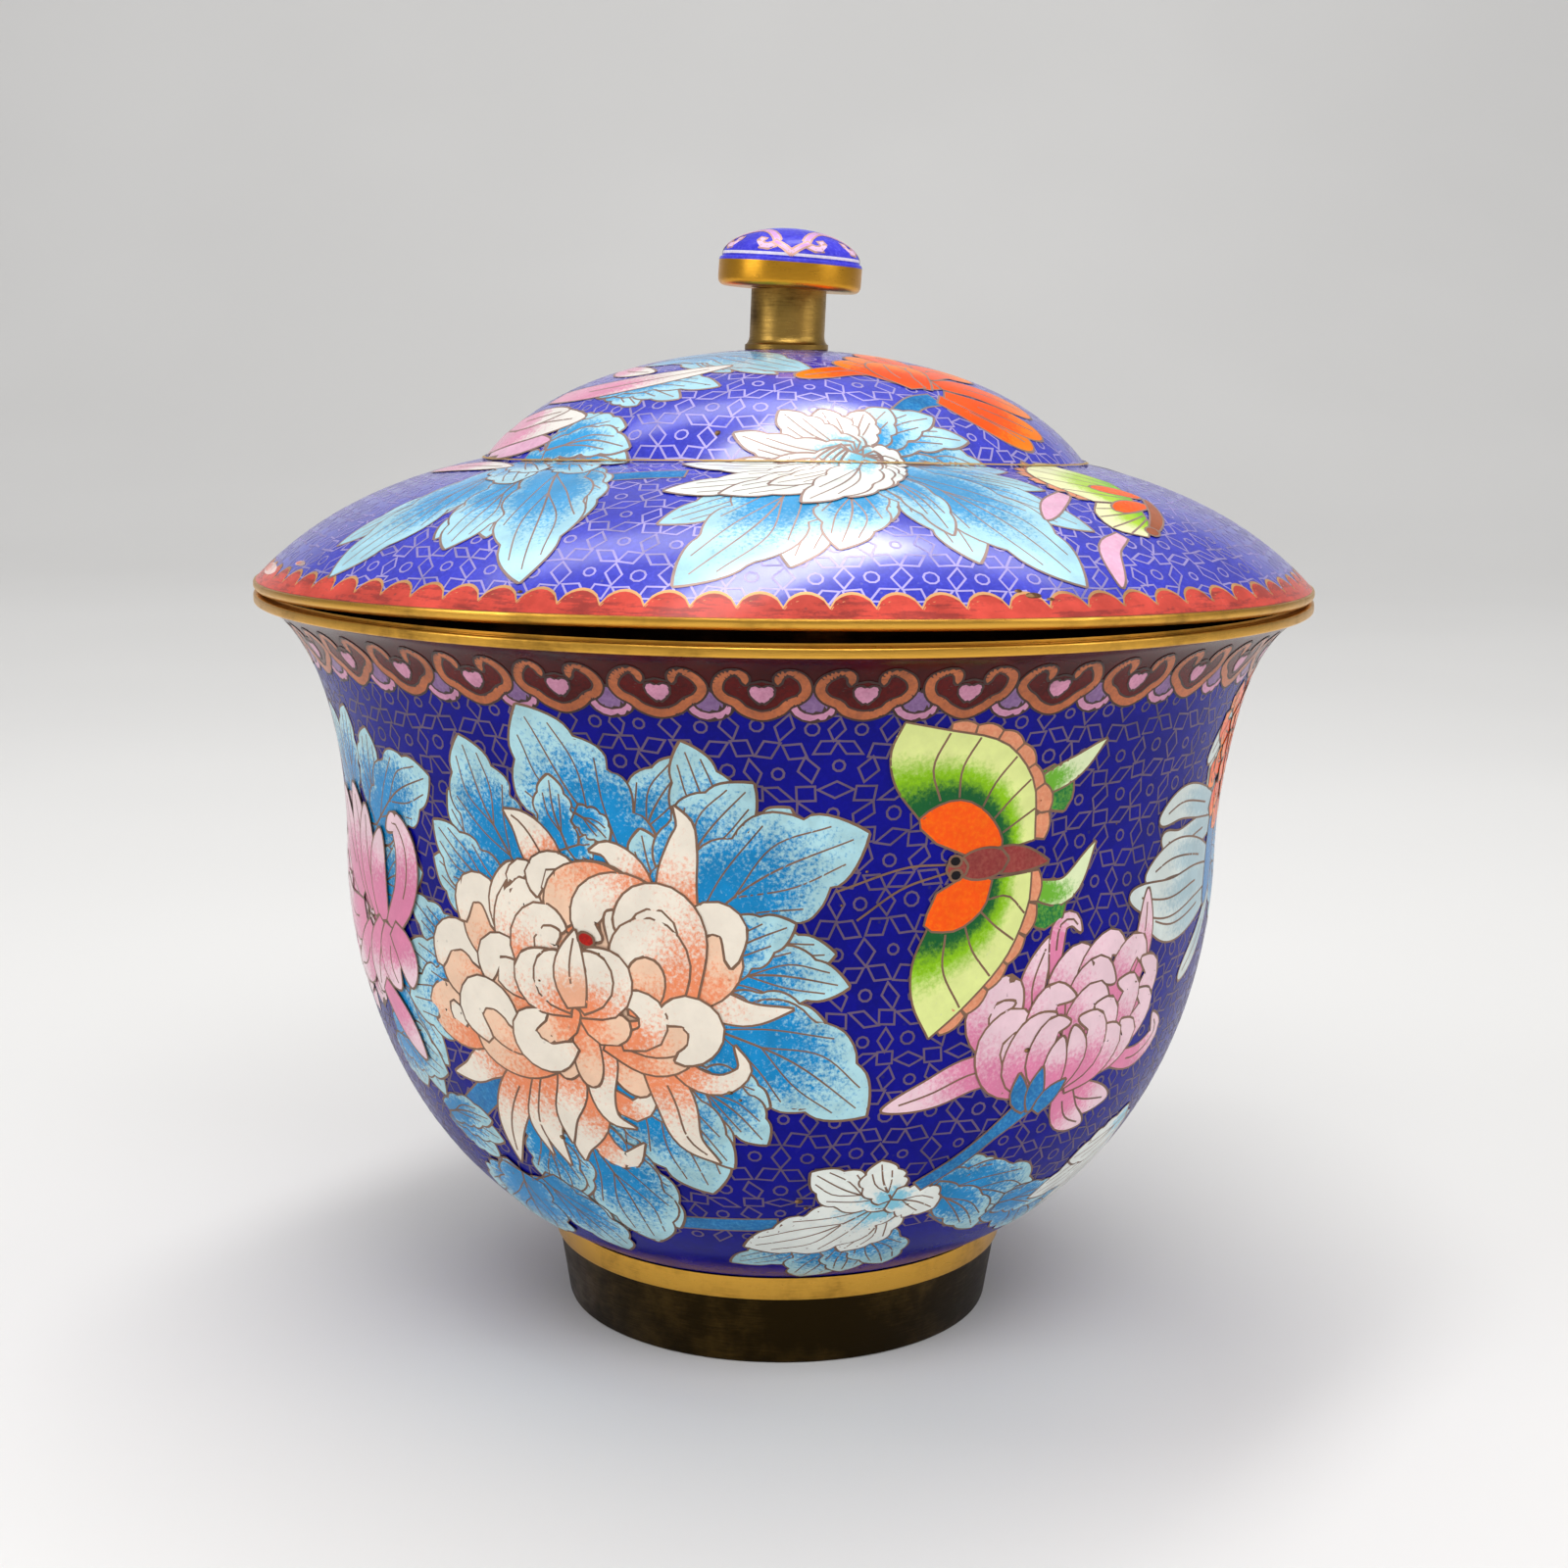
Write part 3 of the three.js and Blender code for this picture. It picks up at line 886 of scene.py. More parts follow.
class Inlay:
    """Enamel fields and laid wires on one face, gathered into one piece."""

    def __init__(self, face, wire_finish):
        self.face = face
        self.bm = bmesh.new()
        self.bm.loops.layers.uv.new("UVMap")
        self.out = self.bm.verts.layers.float_vector.new("out")
        self.finishes = [wire_finish]
        self.wire = bpy.context.scene.urn_sizes.wire / MM

    def lay(self, rows, cols, spot, lift, finish):
        """A grid of enamel or metal; spot turns shares along and across into a chart place."""
        if finish not in self.finishes:
            self.finishes.append(finish)
        index = self.finishes.index(finish)
        made = bmesh.ops.create_grid(
            self.bm, x_segments=rows, y_segments=cols, size=0.5, calc_uvs=True)
        verts = made["verts"]
        for vert in verts:
            x, y = spot(vert.co.x + 0.5, vert.co.y + 0.5)
            place, out = self.face.stand(x, y)
            vert.co = (place + out * lift) * MM
            vert[self.out] = out
        for face in {f for v in verts for f in v.link_faces}:
            face.material_index = index
            face.smooth = True
        return verts

    def strip(self, line, start, end, rows, cols, half, lift, finish, ease=1.0):
        """A strip along a line from one distance to another, with its half width by share."""
        stations = []
        for i in range(rows + 1):
            share = 1 - (1 - i / rows) ** ease
            spot, side = line.station(start + (end - start) * share)
            stations.append((spot, side * half(share)))
        def spot_of(along, across):
            spot, side = stations[round(along * rows)]
            return spot + side * (2 * across - 1)
        return self.lay(rows, cols, spot_of, lift, finish)

    def cell(self, points, width, shape, finish, fold=False, layer=None, wired=True):
        """One enamel cell in its wire: a petal, a lobe, a stem or a bud."""
        line = Line(self.face, points)
        wire = self.wire
        ease = TIP_EASE if shape in (round_petal, pointed_petal, curled_petal) else 1.0
        rows = max(5, math.ceil(1.15 * line.length / CELL))
        if shape is lobe:
            rows = max(rows, 28)
        if shape is oval:
            rows = max(rows, 8)
        if shape is rounded_band:
            rows *= 2
        cols = max(2, math.ceil(width / CELL))
        spots = []
        for i in range(rows + 1):
            share = i / rows
            spot, side = line.station(line.length * share)
            for j in (-1, -0.5, 0, 0.5, 1):
                spots.append(spot + side * (j * shape(share) * width / 2))
        layer = layer or self.face.claim(spots)
        lift = LAYER_BASE + LAYER_STEP * layer
        if wired:
            self.strip(
                line, -wire, line.length + wire, rows, cols,
                lambda share: shape(share) * width / 2 + wire, lift, self.finishes[0], ease)
        self.strip(
            line, 0, line.length, rows, cols,
            lambda share: shape(share) * width / 2, lift + FIELD_LIFT, finish, ease)
        if fold:
            self.strip(
                line, line.length * 0.3, line.length * 0.9, max(3, rows // 2), 1,
                lambda share: wire / 2, lift + VEIN_LIFT, self.finishes[0])
        return line, lift

    def vein(self, points, lift, width=None):
        line = Line(self.face, points)
        half = (width or self.wire) / 2
        rows = max(1, math.ceil(line.length / CELL))
        self.strip(line, 0, line.length, rows, 1, lambda share: half, lift, self.finishes[0])

    def leaf_lobe(self, base, tip, width, finish):
        """A lobe with its midrib and side veins."""
        base, tip = Vector(base), Vector(tip)
        aside = Vector((-(tip - base).y, (tip - base).x)) * LEAF_BEND
        points = (base, (base + tip) / 2 + aside, tip)
        line, lift = self.cell(points, width, lobe, finish)
        lift += VEIN_LIFT
        wire = self.wire
        self.strip(
            line, 0, line.length * 0.93, max(4, math.ceil(line.length / CELL)), 1,
            lambda share: wire / 2 * (1.3 - 0.6 * share), lift, self.finishes[0])
        for share, far, reach in LARGE_LOBE_VEINS if width > LARGE_LOBE else SMALL_LOBE_VEINS:
            for side in (-1, 1):
                start = line.station(line.length * share)[0]
                middle, half_way = line.station(line.length * (share + far) / 2)
                end, over = line.station(line.length * far)
                self.vein((
                    start, middle + half_way * side * lobe((share + far) / 2) * width * 0.2,
                    end + over * side * lobe(far) * width / 2 * reach * 1.3), lift, wire * 0.75)

    def leaves(self, groups, finish, across=0, mirror=False):
        """Leaves, each the place that it grows from and its lobes as tip and width."""
        for base, lobes in groups:
            for tip, width in lobes:
                start, end = moved((base, tip), across, mirror)
                self.leaf_lobe(start, end, width, glass(finish))

    def cells(self, rows, shape, finish, across=0, fold=False):
        """Cells of one kind, each a width and its line."""
        for width, points in rows:
            self.cell(moved(points, across), width, shape, glass(finish), fold)

    def finish(self, name, slot):
        """Makes the piece, shaded as one polished surface with the ground that it lies on."""
        bm = self.bm
        bmesh.ops.remove_doubles(bm, verts=bm.verts, dist=1e-7)
        wrong = [f for f in bm.faces if f.normal.dot(f.verts[0][self.out]) < 0]
        bmesh.ops.reverse_faces(bm, faces=wrong)
        piece = show(name, bm, self.finishes, [])
        mesh = piece.data
        out = mesh.attributes["out"]
        mesh.normals_split_custom_set_from_vertices([item.vector[:] for item in out.data])
        mesh.attributes.remove(mesh.attributes["out"])
        return piece


# Ground pattern of circles and diamonds

def ground_pattern(face, name, low, high, finish, seed):
    """Circles on a jittered honeycomb, with a diamond on each of its edges."""
    pitch = bpy.context.scene.urn_sizes.cell_pitch / MM
    thickness = bpy.context.scene.urn_sizes.wire / MM
    rng = random.Random(seed)
    around = math.tau * face.unit
    seeds = []
    y, odd = max(low - 8, 0.6), 0
    while y < min(high + 8, face.lengths[-1] - 2):
        count = round(around * face.scale(y) / pitch)
        step = around / count
        for i in range(count):
            x = (i + 0.5 * odd) * step + rng.uniform(-0.1, 0.1) * step - around / 2
            seeds.append((x, y + rng.uniform(-0.8, 0.8)))
        y += pitch * ROW_STEP
        odd = 1 - odd

    margin = around * 0.06
    flat = []
    for x, y in seeds:
        for turn_by in (-around, 0, around):
            if abs(x + turn_by) < around / 2 + margin:
                flat.append(Vector((x + turn_by, face.level(y))))
    verts, _, faces, *_ = geometry.delaunay_2d_cdt(flat, [], [], 0, 1e-5)
    middles = {}
    for triangle in faces:
        middle = sum((verts[i] for i in triangle), Vector((0, 0))) / 3
        for a, b in zip(triangle, triangle[1:] + triangle[:1]):
            middles.setdefault((min(a, b), max(a, b)), []).append(middle)
    bm = bmesh.new()
    zones = {}
    low_level, high_level = face.level(low), face.level(high)
    for (a, b), pair in middles.items():
        centre = (verts[a] + verts[b]) / 2
        if len(pair) < 2 or not -around / 2 <= centre.x < around / 2:
            continue
        along = pair[1] - pair[0]
        across = verts[b] - verts[a]
        if not low_level < centre.y < high_level or along.length > 2.2 * across.length:
            continue
        along, across = along * DIAMOND_LENGTH, across * DIAMOND_WIDTH
        ends = [centre - along, centre - across, centre + along, centre + across]
        if (ends[1] - ends[0]).cross(ends[2] - ends[1]) < 0:
            ends.reverse()
        shape = bm.faces.new([bm.verts.new((p.x, p.y, 0)) for p in ends])
        zones.setdefault(round(centre.y / ZONE), []).append(shape)
    for x, y in seeds:
        if not low < y < high:
            continue
        made = bmesh.ops.create_circle(
            bm, cap_ends=True, radius=CIRCLE_RADIUS * rng.uniform(0.85, 1.15) / face.scale(y),
            segments=9, matrix=Matrix.Translation((x, face.level(y), 0)))
        zones.setdefault(round(face.level(y) / ZONE), []).append(made["verts"][0].link_faces[0])
    kept = []
    for zone, shapes in zones.items():
        y = face.lengths[face.find(face.even, zone * ZONE)]
        bmesh.ops.inset_individual(
            bm, faces=shapes, thickness=thickness / max(face.scale(y), 0.1), use_even_offset=True)
        kept += shapes
    bmesh.ops.delete(bm, geom=kept, context="FACES")
    long_edges = [
        e for e in bm.edges
        if e.calc_length() * face.scale(face.lengths[face.find(face.even, e.verts[0].co.y)]) > 2]
    bmesh.ops.subdivide_edges(bm, edges=long_edges, cuts=1)
    for vert in bm.verts:
        i = min(face.find(face.even, vert.co.y), len(face.even) - 2)
        share = (vert.co.y - face.even[i]) / (face.even[i + 1] - face.even[i])
        y = face.lengths[i] + (face.lengths[i + 1] - face.lengths[i]) * share
        place, out = face.stand(vert.co.x, y)
        vert.co = (place + out * WIRE_LIFT) * MM
    for shape in bm.faces:
        shape.smooth = True
    bm.normal_update()
    wrong = [f for f in bm.faces if f.normal.dot(f.calc_center_median() - Vector((0, 0, 0.06))) < 0]
    bmesh.ops.reverse_faces(bm, faces=wrong)
    return show(name, bm, [finish], [])


# Large chrysanthemum: petals from the back to the front, each a kind, a width and its line
LARGE_FLOWER = (
    ("ball", 24, ((-58, 74), (-38, 80), (-14, 80))),
    ("spike", 7, ((-38.5, 94), (-41.5, 100), (-44.5, 104), (-48, 106.2))),
    ("spike", 5, ((-21.5, 91.5), (-25, 98), (-28.7, 101.2), (-31.8, 100.8))),
    ("spike", 6.4, ((-15.2, 86), (-17, 95), (-16, 102), (-15.4, 106), (-17, 109.3))),
    ("spike", 5.4, ((-22, 75), (-13, 76.4), (-5, 74.6), (2.2, 75.6))),
    ("spike", 6, ((-48, 62), (-57, 59.5), (-62, 56.6), (-68, 55.2))),
    ("spike", 6.8, ((-44.5, 63), (-51, 55), (-55.5, 47), (-58, 37.6))),
    ("spike", 3.2, ((-43, 63), (-46, 55), (-48.3, 49), (-46.8, 42))),
    ("spike", 5.2, ((-40.5, 64), (-42.8, 55), (-45, 48), (-43.3, 40.2))),
    ("spike", 4.6, ((-35, 52), (-33.6, 46), (-29.4, 43.6), (-25.3, 48))),
    ("spike", 6, ((-33.5, 58), (-35, 52), (-38.5, 46), (-39.2, 42.2))),
    ("spike", 5.4, ((-37.5, 66), (-38, 58), (-40.4, 52), (-40.8, 46))),
    ("spike", 4, ((-30.5, 58), (-25.8, 55), (-21, 60.4))),
    ("body", 6, ((-30, 70), (-27, 64), (-23.4, 58.4))),
    ("spike", 5.4, ((-34, 74), (-31.2, 66), (-32, 58), (-30.6, 53), (-26.4, 51.3))),
    ("spike", 6.6, ((-22.5, 68), (-18.4, 58), (-16.4, 50), (-11, 45.1))),
    ("spike", 3.8, ((-20, 68), (-14.6, 62.6), (-9.6, 61.6), (-5.8, 64.5), (-7.3, 68.8))),
    ("body", 7.5, ((-18, 76.5), (-12.6, 79), (-9.8, 83), (-10.8, 88))),
    ("hood", 5.2, ((-15, 84.6), (-13.6, 89.4), (-10.6, 90.8), (-7.6, 88.6), (-7.9, 82.6))),
    ("body", 6.6, ((-54, 65), (-61.5, 64.4), (-67, 67.4), (-65, 70.8), (-61.5, 70.4))),
    ("hood", 3.4, ((-63.8, 69.8), (-62, 67.2), (-59.6, 68.6))),
    ("body", 10, ((-48, 76), (-57, 76), (-64.6, 77.6))),
    ("hood", 5.4, ((-65.6, 76.6), (-64, 81.4), (-60, 82.8), (-57, 81.2), (-55.2, 77.8))),
    ("body", 10, ((-46, 78), (-52, 84), (-56.6, 89.6))),
    ("hood", 5, ((-58.6, 85.6), (-58, 90.4), (-55, 91.8), (-52.2, 90.2), (-50.7, 84.8))),
    ("petal", 9, ((-43, 82), (-47.6, 89), (-47.4, 97.2))),
    ("hood", 3.4, ((-43, 92.6), (-46.6, 93.6), (-45.4, 96.4), (-41.8, 96.4))),
    ("petal", 8.4, ((-43, 78), (-46.6, 84), (-46, 91), (-40.4, 91.4))),
    ("body", 9, ((-32, 86), (-36, 92), (-40.6, 96.6))),
    ("hood", 4.8, ((-34.5, 96.6), (-38.4, 97.6), (-42.2, 96), (-42, 92))),
    ("hood", 3, ((-36, 95.4), (-39.8, 95), (-38.8, 92))),
    ("petal", 8, ((-22, 89), (-28, 94), (-34, 95), (-38, 91.5))),
    ("body", 6, ((-24, 94.6), (-31, 96.2), (-36.4, 94.4), (-38, 90.4), (-35.6, 88))),
    ("petal", 6.6, ((-19, 92), (-26, 94.2), (-31.4, 92.4), (-33, 88), (-30, 85.8))),
    ("petal", 7.6, ((-24, 78), (-25, 86), (-29, 90.6))),
    ("petal", 7, ((-15.6, 77), (-15.4, 87), (-18.6, 92), (-23, 92.6), (-26, 89.6), (-25.8, 86.4))),
    ("hood", 4.4, ((-17.8, 84), (-19.8, 89), (-22.6, 89.2), (-25, 86.4))),
    ("petal", 6.6, ((-18.4, 75), (-17.8, 82.4), (-20.6, 86.4), (-24.2, 86.4), (-26.4, 83), (-25.2, 79))),
    ("body", 6.4, ((-24, 73), (-22.4, 78), (-22.3, 83.4))),
    ("body", 8, ((-42, 72), (-48, 74.5), (-52, 79))),
    ("hood", 5.4, ((-53.2, 76), (-52.4, 80.8), (-49, 82), (-45.4, 80))),
    ("petal", 4.4, ((-42, 75.4), (-46.4, 76), (-49.8, 78.2), (-46.6, 79.8))),
    ("petal", 6.8, ((-43, 78), (-44.4, 84), (-41.4, 88), (-36.6, 87))),
    ("petal", 4.4, ((-39.6, 80), (-40.4, 84.6), (-37.8, 86.4))),
    ("body", 6, ((-38, 63.4), (-47, 61.4), (-54, 63.4), (-56.4, 67.6))),
    ("body", 7, ((-39, 67), (-47, 66.4), (-52, 68), (-55.4, 70))),
    ("hood", 5.8, ((-54.8, 64.6), (-58.4, 69), (-56.4, 73), (-52.2, 73), (-49.4, 70.6), (-48.2, 67.6))),
    ("body", 5, ((-38, 73), (-36.8, 66), (-39, 60))),
    ("body", 5, ((-34, 73), (-33.8, 66), (-33.6, 59))),
    ("body", 5.4, ((-30, 67.6), (-22.4, 65.2), (-17, 66.8), (-15.8, 71))),
    ("body", 7, ((-28, 70), (-22, 69.4), (-14.6, 71))),
    ("hood", 6, ((-20.4, 73), (-15.6, 74.6), (-12.2, 71.8), (-13.6, 67.6), (-17.6, 65.6))),
    ("petal", 4.6, ((-27, 68.2), (-22, 69.8), (-21.4, 73.8), (-24.6, 76), (-28, 75))),
    ("body", 5.4, ((-34, 73.4), (-30, 70), (-25.6, 72))),
    ("body", 5.6, ((-35.4, 73.4), (-38, 70), (-41.6, 68.8), (-42.6, 66))),
    ("hood", 5.8, ((-36, 66.4), (-40.6, 63.6), (-45, 65), (-45.8, 69.2), (-41, 72))),
    ("petal", 5.4, ((-36, 73.5), (-42.6, 75), (-44.3, 79.6), (-39.6, 82.8))),
    ("petal", 5.4, ((-34.4, 73.5), (-28.6, 75.4), (-27.8, 80.8), (-32.8, 84))),
    ("petal", 4.8, ((-35.7, 73.8), (-40, 76.5), (-40.4, 80.4), (-38.2, 83))),
    ("petal", 4.8, ((-34.4, 73.8), (-31, 76.8), (-30.8, 80.8), (-33.4, 83.4))),
    ("heart", 5.8, ((-35, 73.8), (-36, 80), (-34.8, 87))),
    ("speck", 1.9, ((-34, 86.2), (-31.4, 85.2))),
)


def moved(points, across, mirror=False):
    return [((across - x) if mirror else (across + x), y) for x, y in points]


def large_flower(across, mirror, name):
    inlay = Inlay(BOWL_FACE, wire("bowl"))
    kinds = {
        "spike": (pointed_petal, "large petal"), "body": (round_petal, "large body"),
        "petal": (curled_petal, "large hood"), "hood": (crescent, "large cream"),
        "heart": (pointed_petal, "large heart"), "ball": (oval, "large body"),
        "speck": (oval, "red speck")}
    for kind, width, points in LARGE_FLOWER:
        shape, finish = kinds[kind]
        fold = kind == "heart" or (kind == "spike" and width > 6.5)
        inlay.cell(moved(points, across, mirror), width, shape, glass(finish), fold)
    return inlay.finish(name, "bowl_enamel")


def rosette(inlay, centre, size, petal, hood):
    """A generic chrysanthemum of rings of petals, larger towards the outside."""
    cx, cy = centre
    wide = 1 / inlay.face.scale(cy)
    for ring, (near, far, count, width) in enumerate((
            (0.5, 1.0, 13, 0.26), (0.38, 0.8, 12, 0.27), (0.22, 0.6, 10, 0.27),
            (0.1, 0.42, 7, 0.26), (0.0, 0.25, 4, 0.22))):
        for i in range(count):
            angle = math.tau * (i + 0.5 * (ring % 2)) / count
            hook = 0.35 if i % 3 else -0.3
            points = []
            for share, swing, pull in (
                    (near, 0, 1), ((near + far) / 2, 0.05, 1), (far, 0.14 * hook, 1),
                    (far, hook * 0.8, 0.88)):
                a = angle + swing
                reach = size * share * pull
                points.append((cx + wide * reach * math.cos(a), cy + reach * math.sin(a)))
            outer = ring == 0 and i % 2 == 0
            shape = pointed_petal if outer else (curled_petal if ring < 3 else round_petal)
            inlay.cell(points, size * width, shape, glass(petal if outer else hood),
                       fold=not outer and ring < 2)


# Half-open pink flower

HALF_OPEN_PETALS = (
    (6.5, ((48, 61), (36, 62), (27, 58.6), (18.6, 56))),
    (5.2, ((48, 66), (45, 76), (48, 85))),
    (5.2, ((66, 68), (72, 79), (73, 90))),
    (3, ((49.4, 78), (50, 86.4), (53, 87.6), (55, 85.2))),
    (7, ((56, 58), (62, 52.4), (73, 50))),
    (5.6, ((56, 57), (60, 49), (67, 45.6))),
    (4.4, ((68, 59), (78, 57.5), (84, 61), (81, 65.5))),
)
HALF_OPEN_HOODS = (
    (6.6, ((46, 64), (38, 67.5), (35.8, 73), (40, 77), (43, 73))),
    (3.6, ((46, 68), (40, 69), (38.6, 73), (41.6, 74.4))),
    (5.5, ((56, 66), (51, 75), (54.6, 81), (59.4, 79.4))),
    (6.4, ((62, 66), (58, 76), (62.5, 82), (67.4, 79.4))),
    (5.6, ((66, 66), (66, 76), (70.4, 80.5), (73.6, 76.6))),
    (5.6, ((66, 62), (73, 68), (76.4, 74.6), (72.4, 77.6))),
    (6, ((58, 64), (56, 73), (60, 77.6), (65, 74.6))),
    (5.4, ((62, 60), (72, 63.6), (76.4, 68.6), (72.6, 71.6))),
    (5.6, ((62, 61), (68, 66.4), (70.4, 72.6), (66, 74.4))),
    (5.4, ((58, 58), (68, 60), (72.4, 63.6), (69, 66.6))),
    (7, ((50, 57), (41.4, 60), (38.6, 66.5), (42, 71), (46, 68.4))),
    (3.8, ((49, 61.5), (43, 63.5), (42, 66.8), (44.6, 68))),
    (5.6, ((52, 60), (47.4, 68), (49.4, 74.4), (55, 73.6))),
    (5.4, ((57, 60), (56, 69), (60, 73.4), (64, 70.4))),
    (5.2, ((58, 59), (63.4, 64), (64.6, 69.6), (60.4, 71))),
    (5.4, ((57, 56), (64.4, 59), (67.6, 63.6), (63.4, 66.4))),
    (6.2, ((51, 56), (44.4, 61), (46, 68.4), (51, 71))),
    (5.2, ((55, 56.5), (61.4, 61), (61.6, 67.4), (56.8, 69.4))),
    (5, ((52.4, 56), (48.6, 62), (50.4, 68.4), (54.6, 69))),
    (4.8, ((54.4, 56), (57.6, 62), (55.8, 68))),
    (4.8, ((53.4, 55), (52.8, 62), (53.4, 66.4))),
)
HALF_OPEN_BALL = ((20, ((44, 66), (58, 68), (74, 68))),)
HALF_OPEN_STEM = ((4.6, ((50, 55), (43, 49), (36.7, 43.5), (29, 38))),)
HALF_OPEN_CUP = (
    (3.6, ((48.5, 53), (46, 56), (45, 60.5))),
    (3.6, ((50, 52.5), (49.5, 57), (50, 61))),
    (3.6, ((51, 52), (53.5, 55), (56.5, 57.5))),
)


def half_open_flower():
    inlay = Inlay(BOWL_FACE, wire("bowl"))
    inlay.cells(HALF_OPEN_STEM, stem_taper, "stem")
    inlay.cells(HALF_OPEN_PETALS, curled_petal, "pink petal", fold=True)
    inlay.cells(HALF_OPEN_BALL, oval, "pink petal")
    inlay.cells(HALF_OPEN_HOODS, curled_petal, "pink hood")
    inlay.cells(HALF_OPEN_CUP, pointed_petal, "stem")
    return inlay.finish("half_open_flower", "bowl_enamel")


# Leaves of the bowl: where a leaf grows from, then its lobes as tip and width, back to front

BOWL_LEAVES = (
    ((-30, 96), (((-52, 96), 16), ((-16, 92), 16), ((-34, 112), 18))),
    ((-46, 96), (((-60.5, 108), 11), ((-55.5, 118.5), 14))),
    ((-46, 90), (((-66, 95.5), 11), ((-65.4, 102), 10))),
    ((-24, 98), (((-14, 118), 11), ((-41.8, 125.6), 19))),
    ((-4, 98), (((1.4, 109.4), 9), ((-15.4, 120.6), 11))),
    ((-18, 92), (((-22.8, 105), 8), ((-4.4, 113.6), 13))),
    ((-17, 86), (((14, 105.2), 19),)),
    ((-14, 80), (((9, 85), 10), ((11.4, 79.4), 10), ((2.4, 90), 9))),
    ((-14, 73), (((8, 72.4), 9), ((15.6, 55.4), 18))),
    ((-16, 62), (((-1.6, 57.4), 8), ((-2, 49.6), 9))),
    ((-28, 64), (((-27, 42), 12), ((-13, 37.4), 17), ((-8.4, 44), 9))),
    ((-38, 50), (((-38, 21.4), 11), ((-22.4, 26), 11), ((-30, 19.4), 16))),
    ((-48, 50), (((-43, 32), 10), ((-50, 28.6), 11))),
    ((-54, 34), (((-54, 20), 9), ((-40.4, 20), 9), ((-43.6, 11.8), 13))),
    ((-36, 101), (((-31, 104), 8), ((-38.4, 113.2), 7))),
    ((-34, 107), (((-28.4, 102.8), 5),)),
    ((-56, 80), (((-74, 87.4), 8),)),
    ((-90, 72), (((-66, 66), 14), ((-70, 56), 13), ((-76, 48), 12))),
    ((-90, 84), (((-80, 106), 12), ((-70, 92), 12))),
    ((102, 92), (((120, 74), 12), ((124, 92), 10))),
    ((-54, 74), (((-76, 78), 12), ((-78, 68), 14))),
    ((-86, 98), (((-84, 116), 11), ((-74, 100), 10), ((-65.2, 109.8), 14))),
    ((-90, 58), (((-84, 48), 11), ((-71.4, 54), 12))),
    ((-78, 44), (((-66, 36), 9), ((-61, 41.4), 8), ((-62, 46), 7))),
    ((-60, 34), (((-80, 24), 12), ((-68, 26), 11), ((-78, 10), 15))),
    ((-98, 100), (((-106, 118), 13), ((-92, 119), 10))),
    ((32, 36), (((47.4, 40), 9), ((62.6, 26.4), 15), ((52, 20), 9))),
    ((54, 28), (((84, 12), 15), ((74, 24), 9))),
    ((14, 28), (((-12.4, 12), 11), ((8, 1.5), 13), ((20, 5), 10), ((31.8, 8.5), 11))),
)
BOWL_WHITE_LEAVES = (
    ((24, 35), (((16, 18), 10), ((-7.8, 20.4), 14), ((6.6, 43), 10), ((20, 45), 8), ((34.8, 31), 9))),
    ((90, 42), (((80, 18), 9), ((66, 26), 11), ((72, 35), 9))),
)
BOWL_STEMS = (
    (5, ((-50, 60), (-66, 48), (-78, 40))),
    (3.5, ((-24, 27.7), (-12, 28), (0, 28.5))),
    (3.5, ((36, 30), (46, 24), (60, 22))),
    (3.2, ((24, 36), (22, 40), (20, 44))),
)
PALE_PETALS = (
    (5, ((104, 98), (97, 106), (96, 114))),
    (6, ((104, 98), (92, 97), (83, 96), (76.6, 98.6))),
    (6, ((104, 100), (93, 102.6), (83, 104), (75, 101.6))),
    (6.4, ((104, 86), (92, 83), (82, 82), (73, 84.6))),
    (6.4, ((104, 90), (92, 93), (81, 94), (72, 91.6))),
    (6.6, ((104, 88), (92, 88), (80, 87), (67.4, 89.4))),
    (5, ((104, 84), (98, 76), (90, 70))),
    (5, ((112, 112), (100, 116), (92, 110))),
)


# Butterflies

FORE_WING_SCALLOPS = (
    (7, ((25.8, 122.4), (33.3, 121), (38.2, 118), (41.3, 113), (44, 109), (43.8, 102.6))),
    (6, ((43.2, 97), (43.2, 92), (41.2, 86.6), (36, 80), (31, 74.6), (26.5, 71.4))),
)
# Inner line, outer line and the shares across at which veins run
FORE_WINGS = (
    (((22.4, 107), (25.8, 109.6), (30, 110), (34, 107.6), (37, 103.6), (37, 101)),
     ((18.4, 124.6), (25.8, 122.8), (33.3, 121), (38.2, 117.8), (42.4, 111.6), (43.6, 102.4)),
     (0.18, 0.36, 0.54, 0.72, 0.87)),
    (((24.7, 89.4), (28, 88.2), (31, 89), (34.4, 92), (35.3, 96.4)),
     ((25.6, 69.4), (32, 75), (39, 82.6), (43, 91), (43.4, 97)),
     (0.2, 0.42, 0.62, 0.82)),
)
# Inner line, outer line and columns of the mesh
ORANGE_WINGS = (
    (((32, 100.4), (31.2, 100.6), (30.4, 100.8)),
     ((37.2, 101), (37, 103.8), (34, 107.8), (30, 110.2), (25.8, 109.8), (22, 106.8), (25.4, 103)),
     14),
    (((31, 97.4), (31.8, 97.6), (32.6, 97.8)),
     ((25.8, 94.6), (23.8, 89), (28, 87.9), (31.2, 88.8), (34.6, 91.8), (35.8, 96.2)),
     12),
)


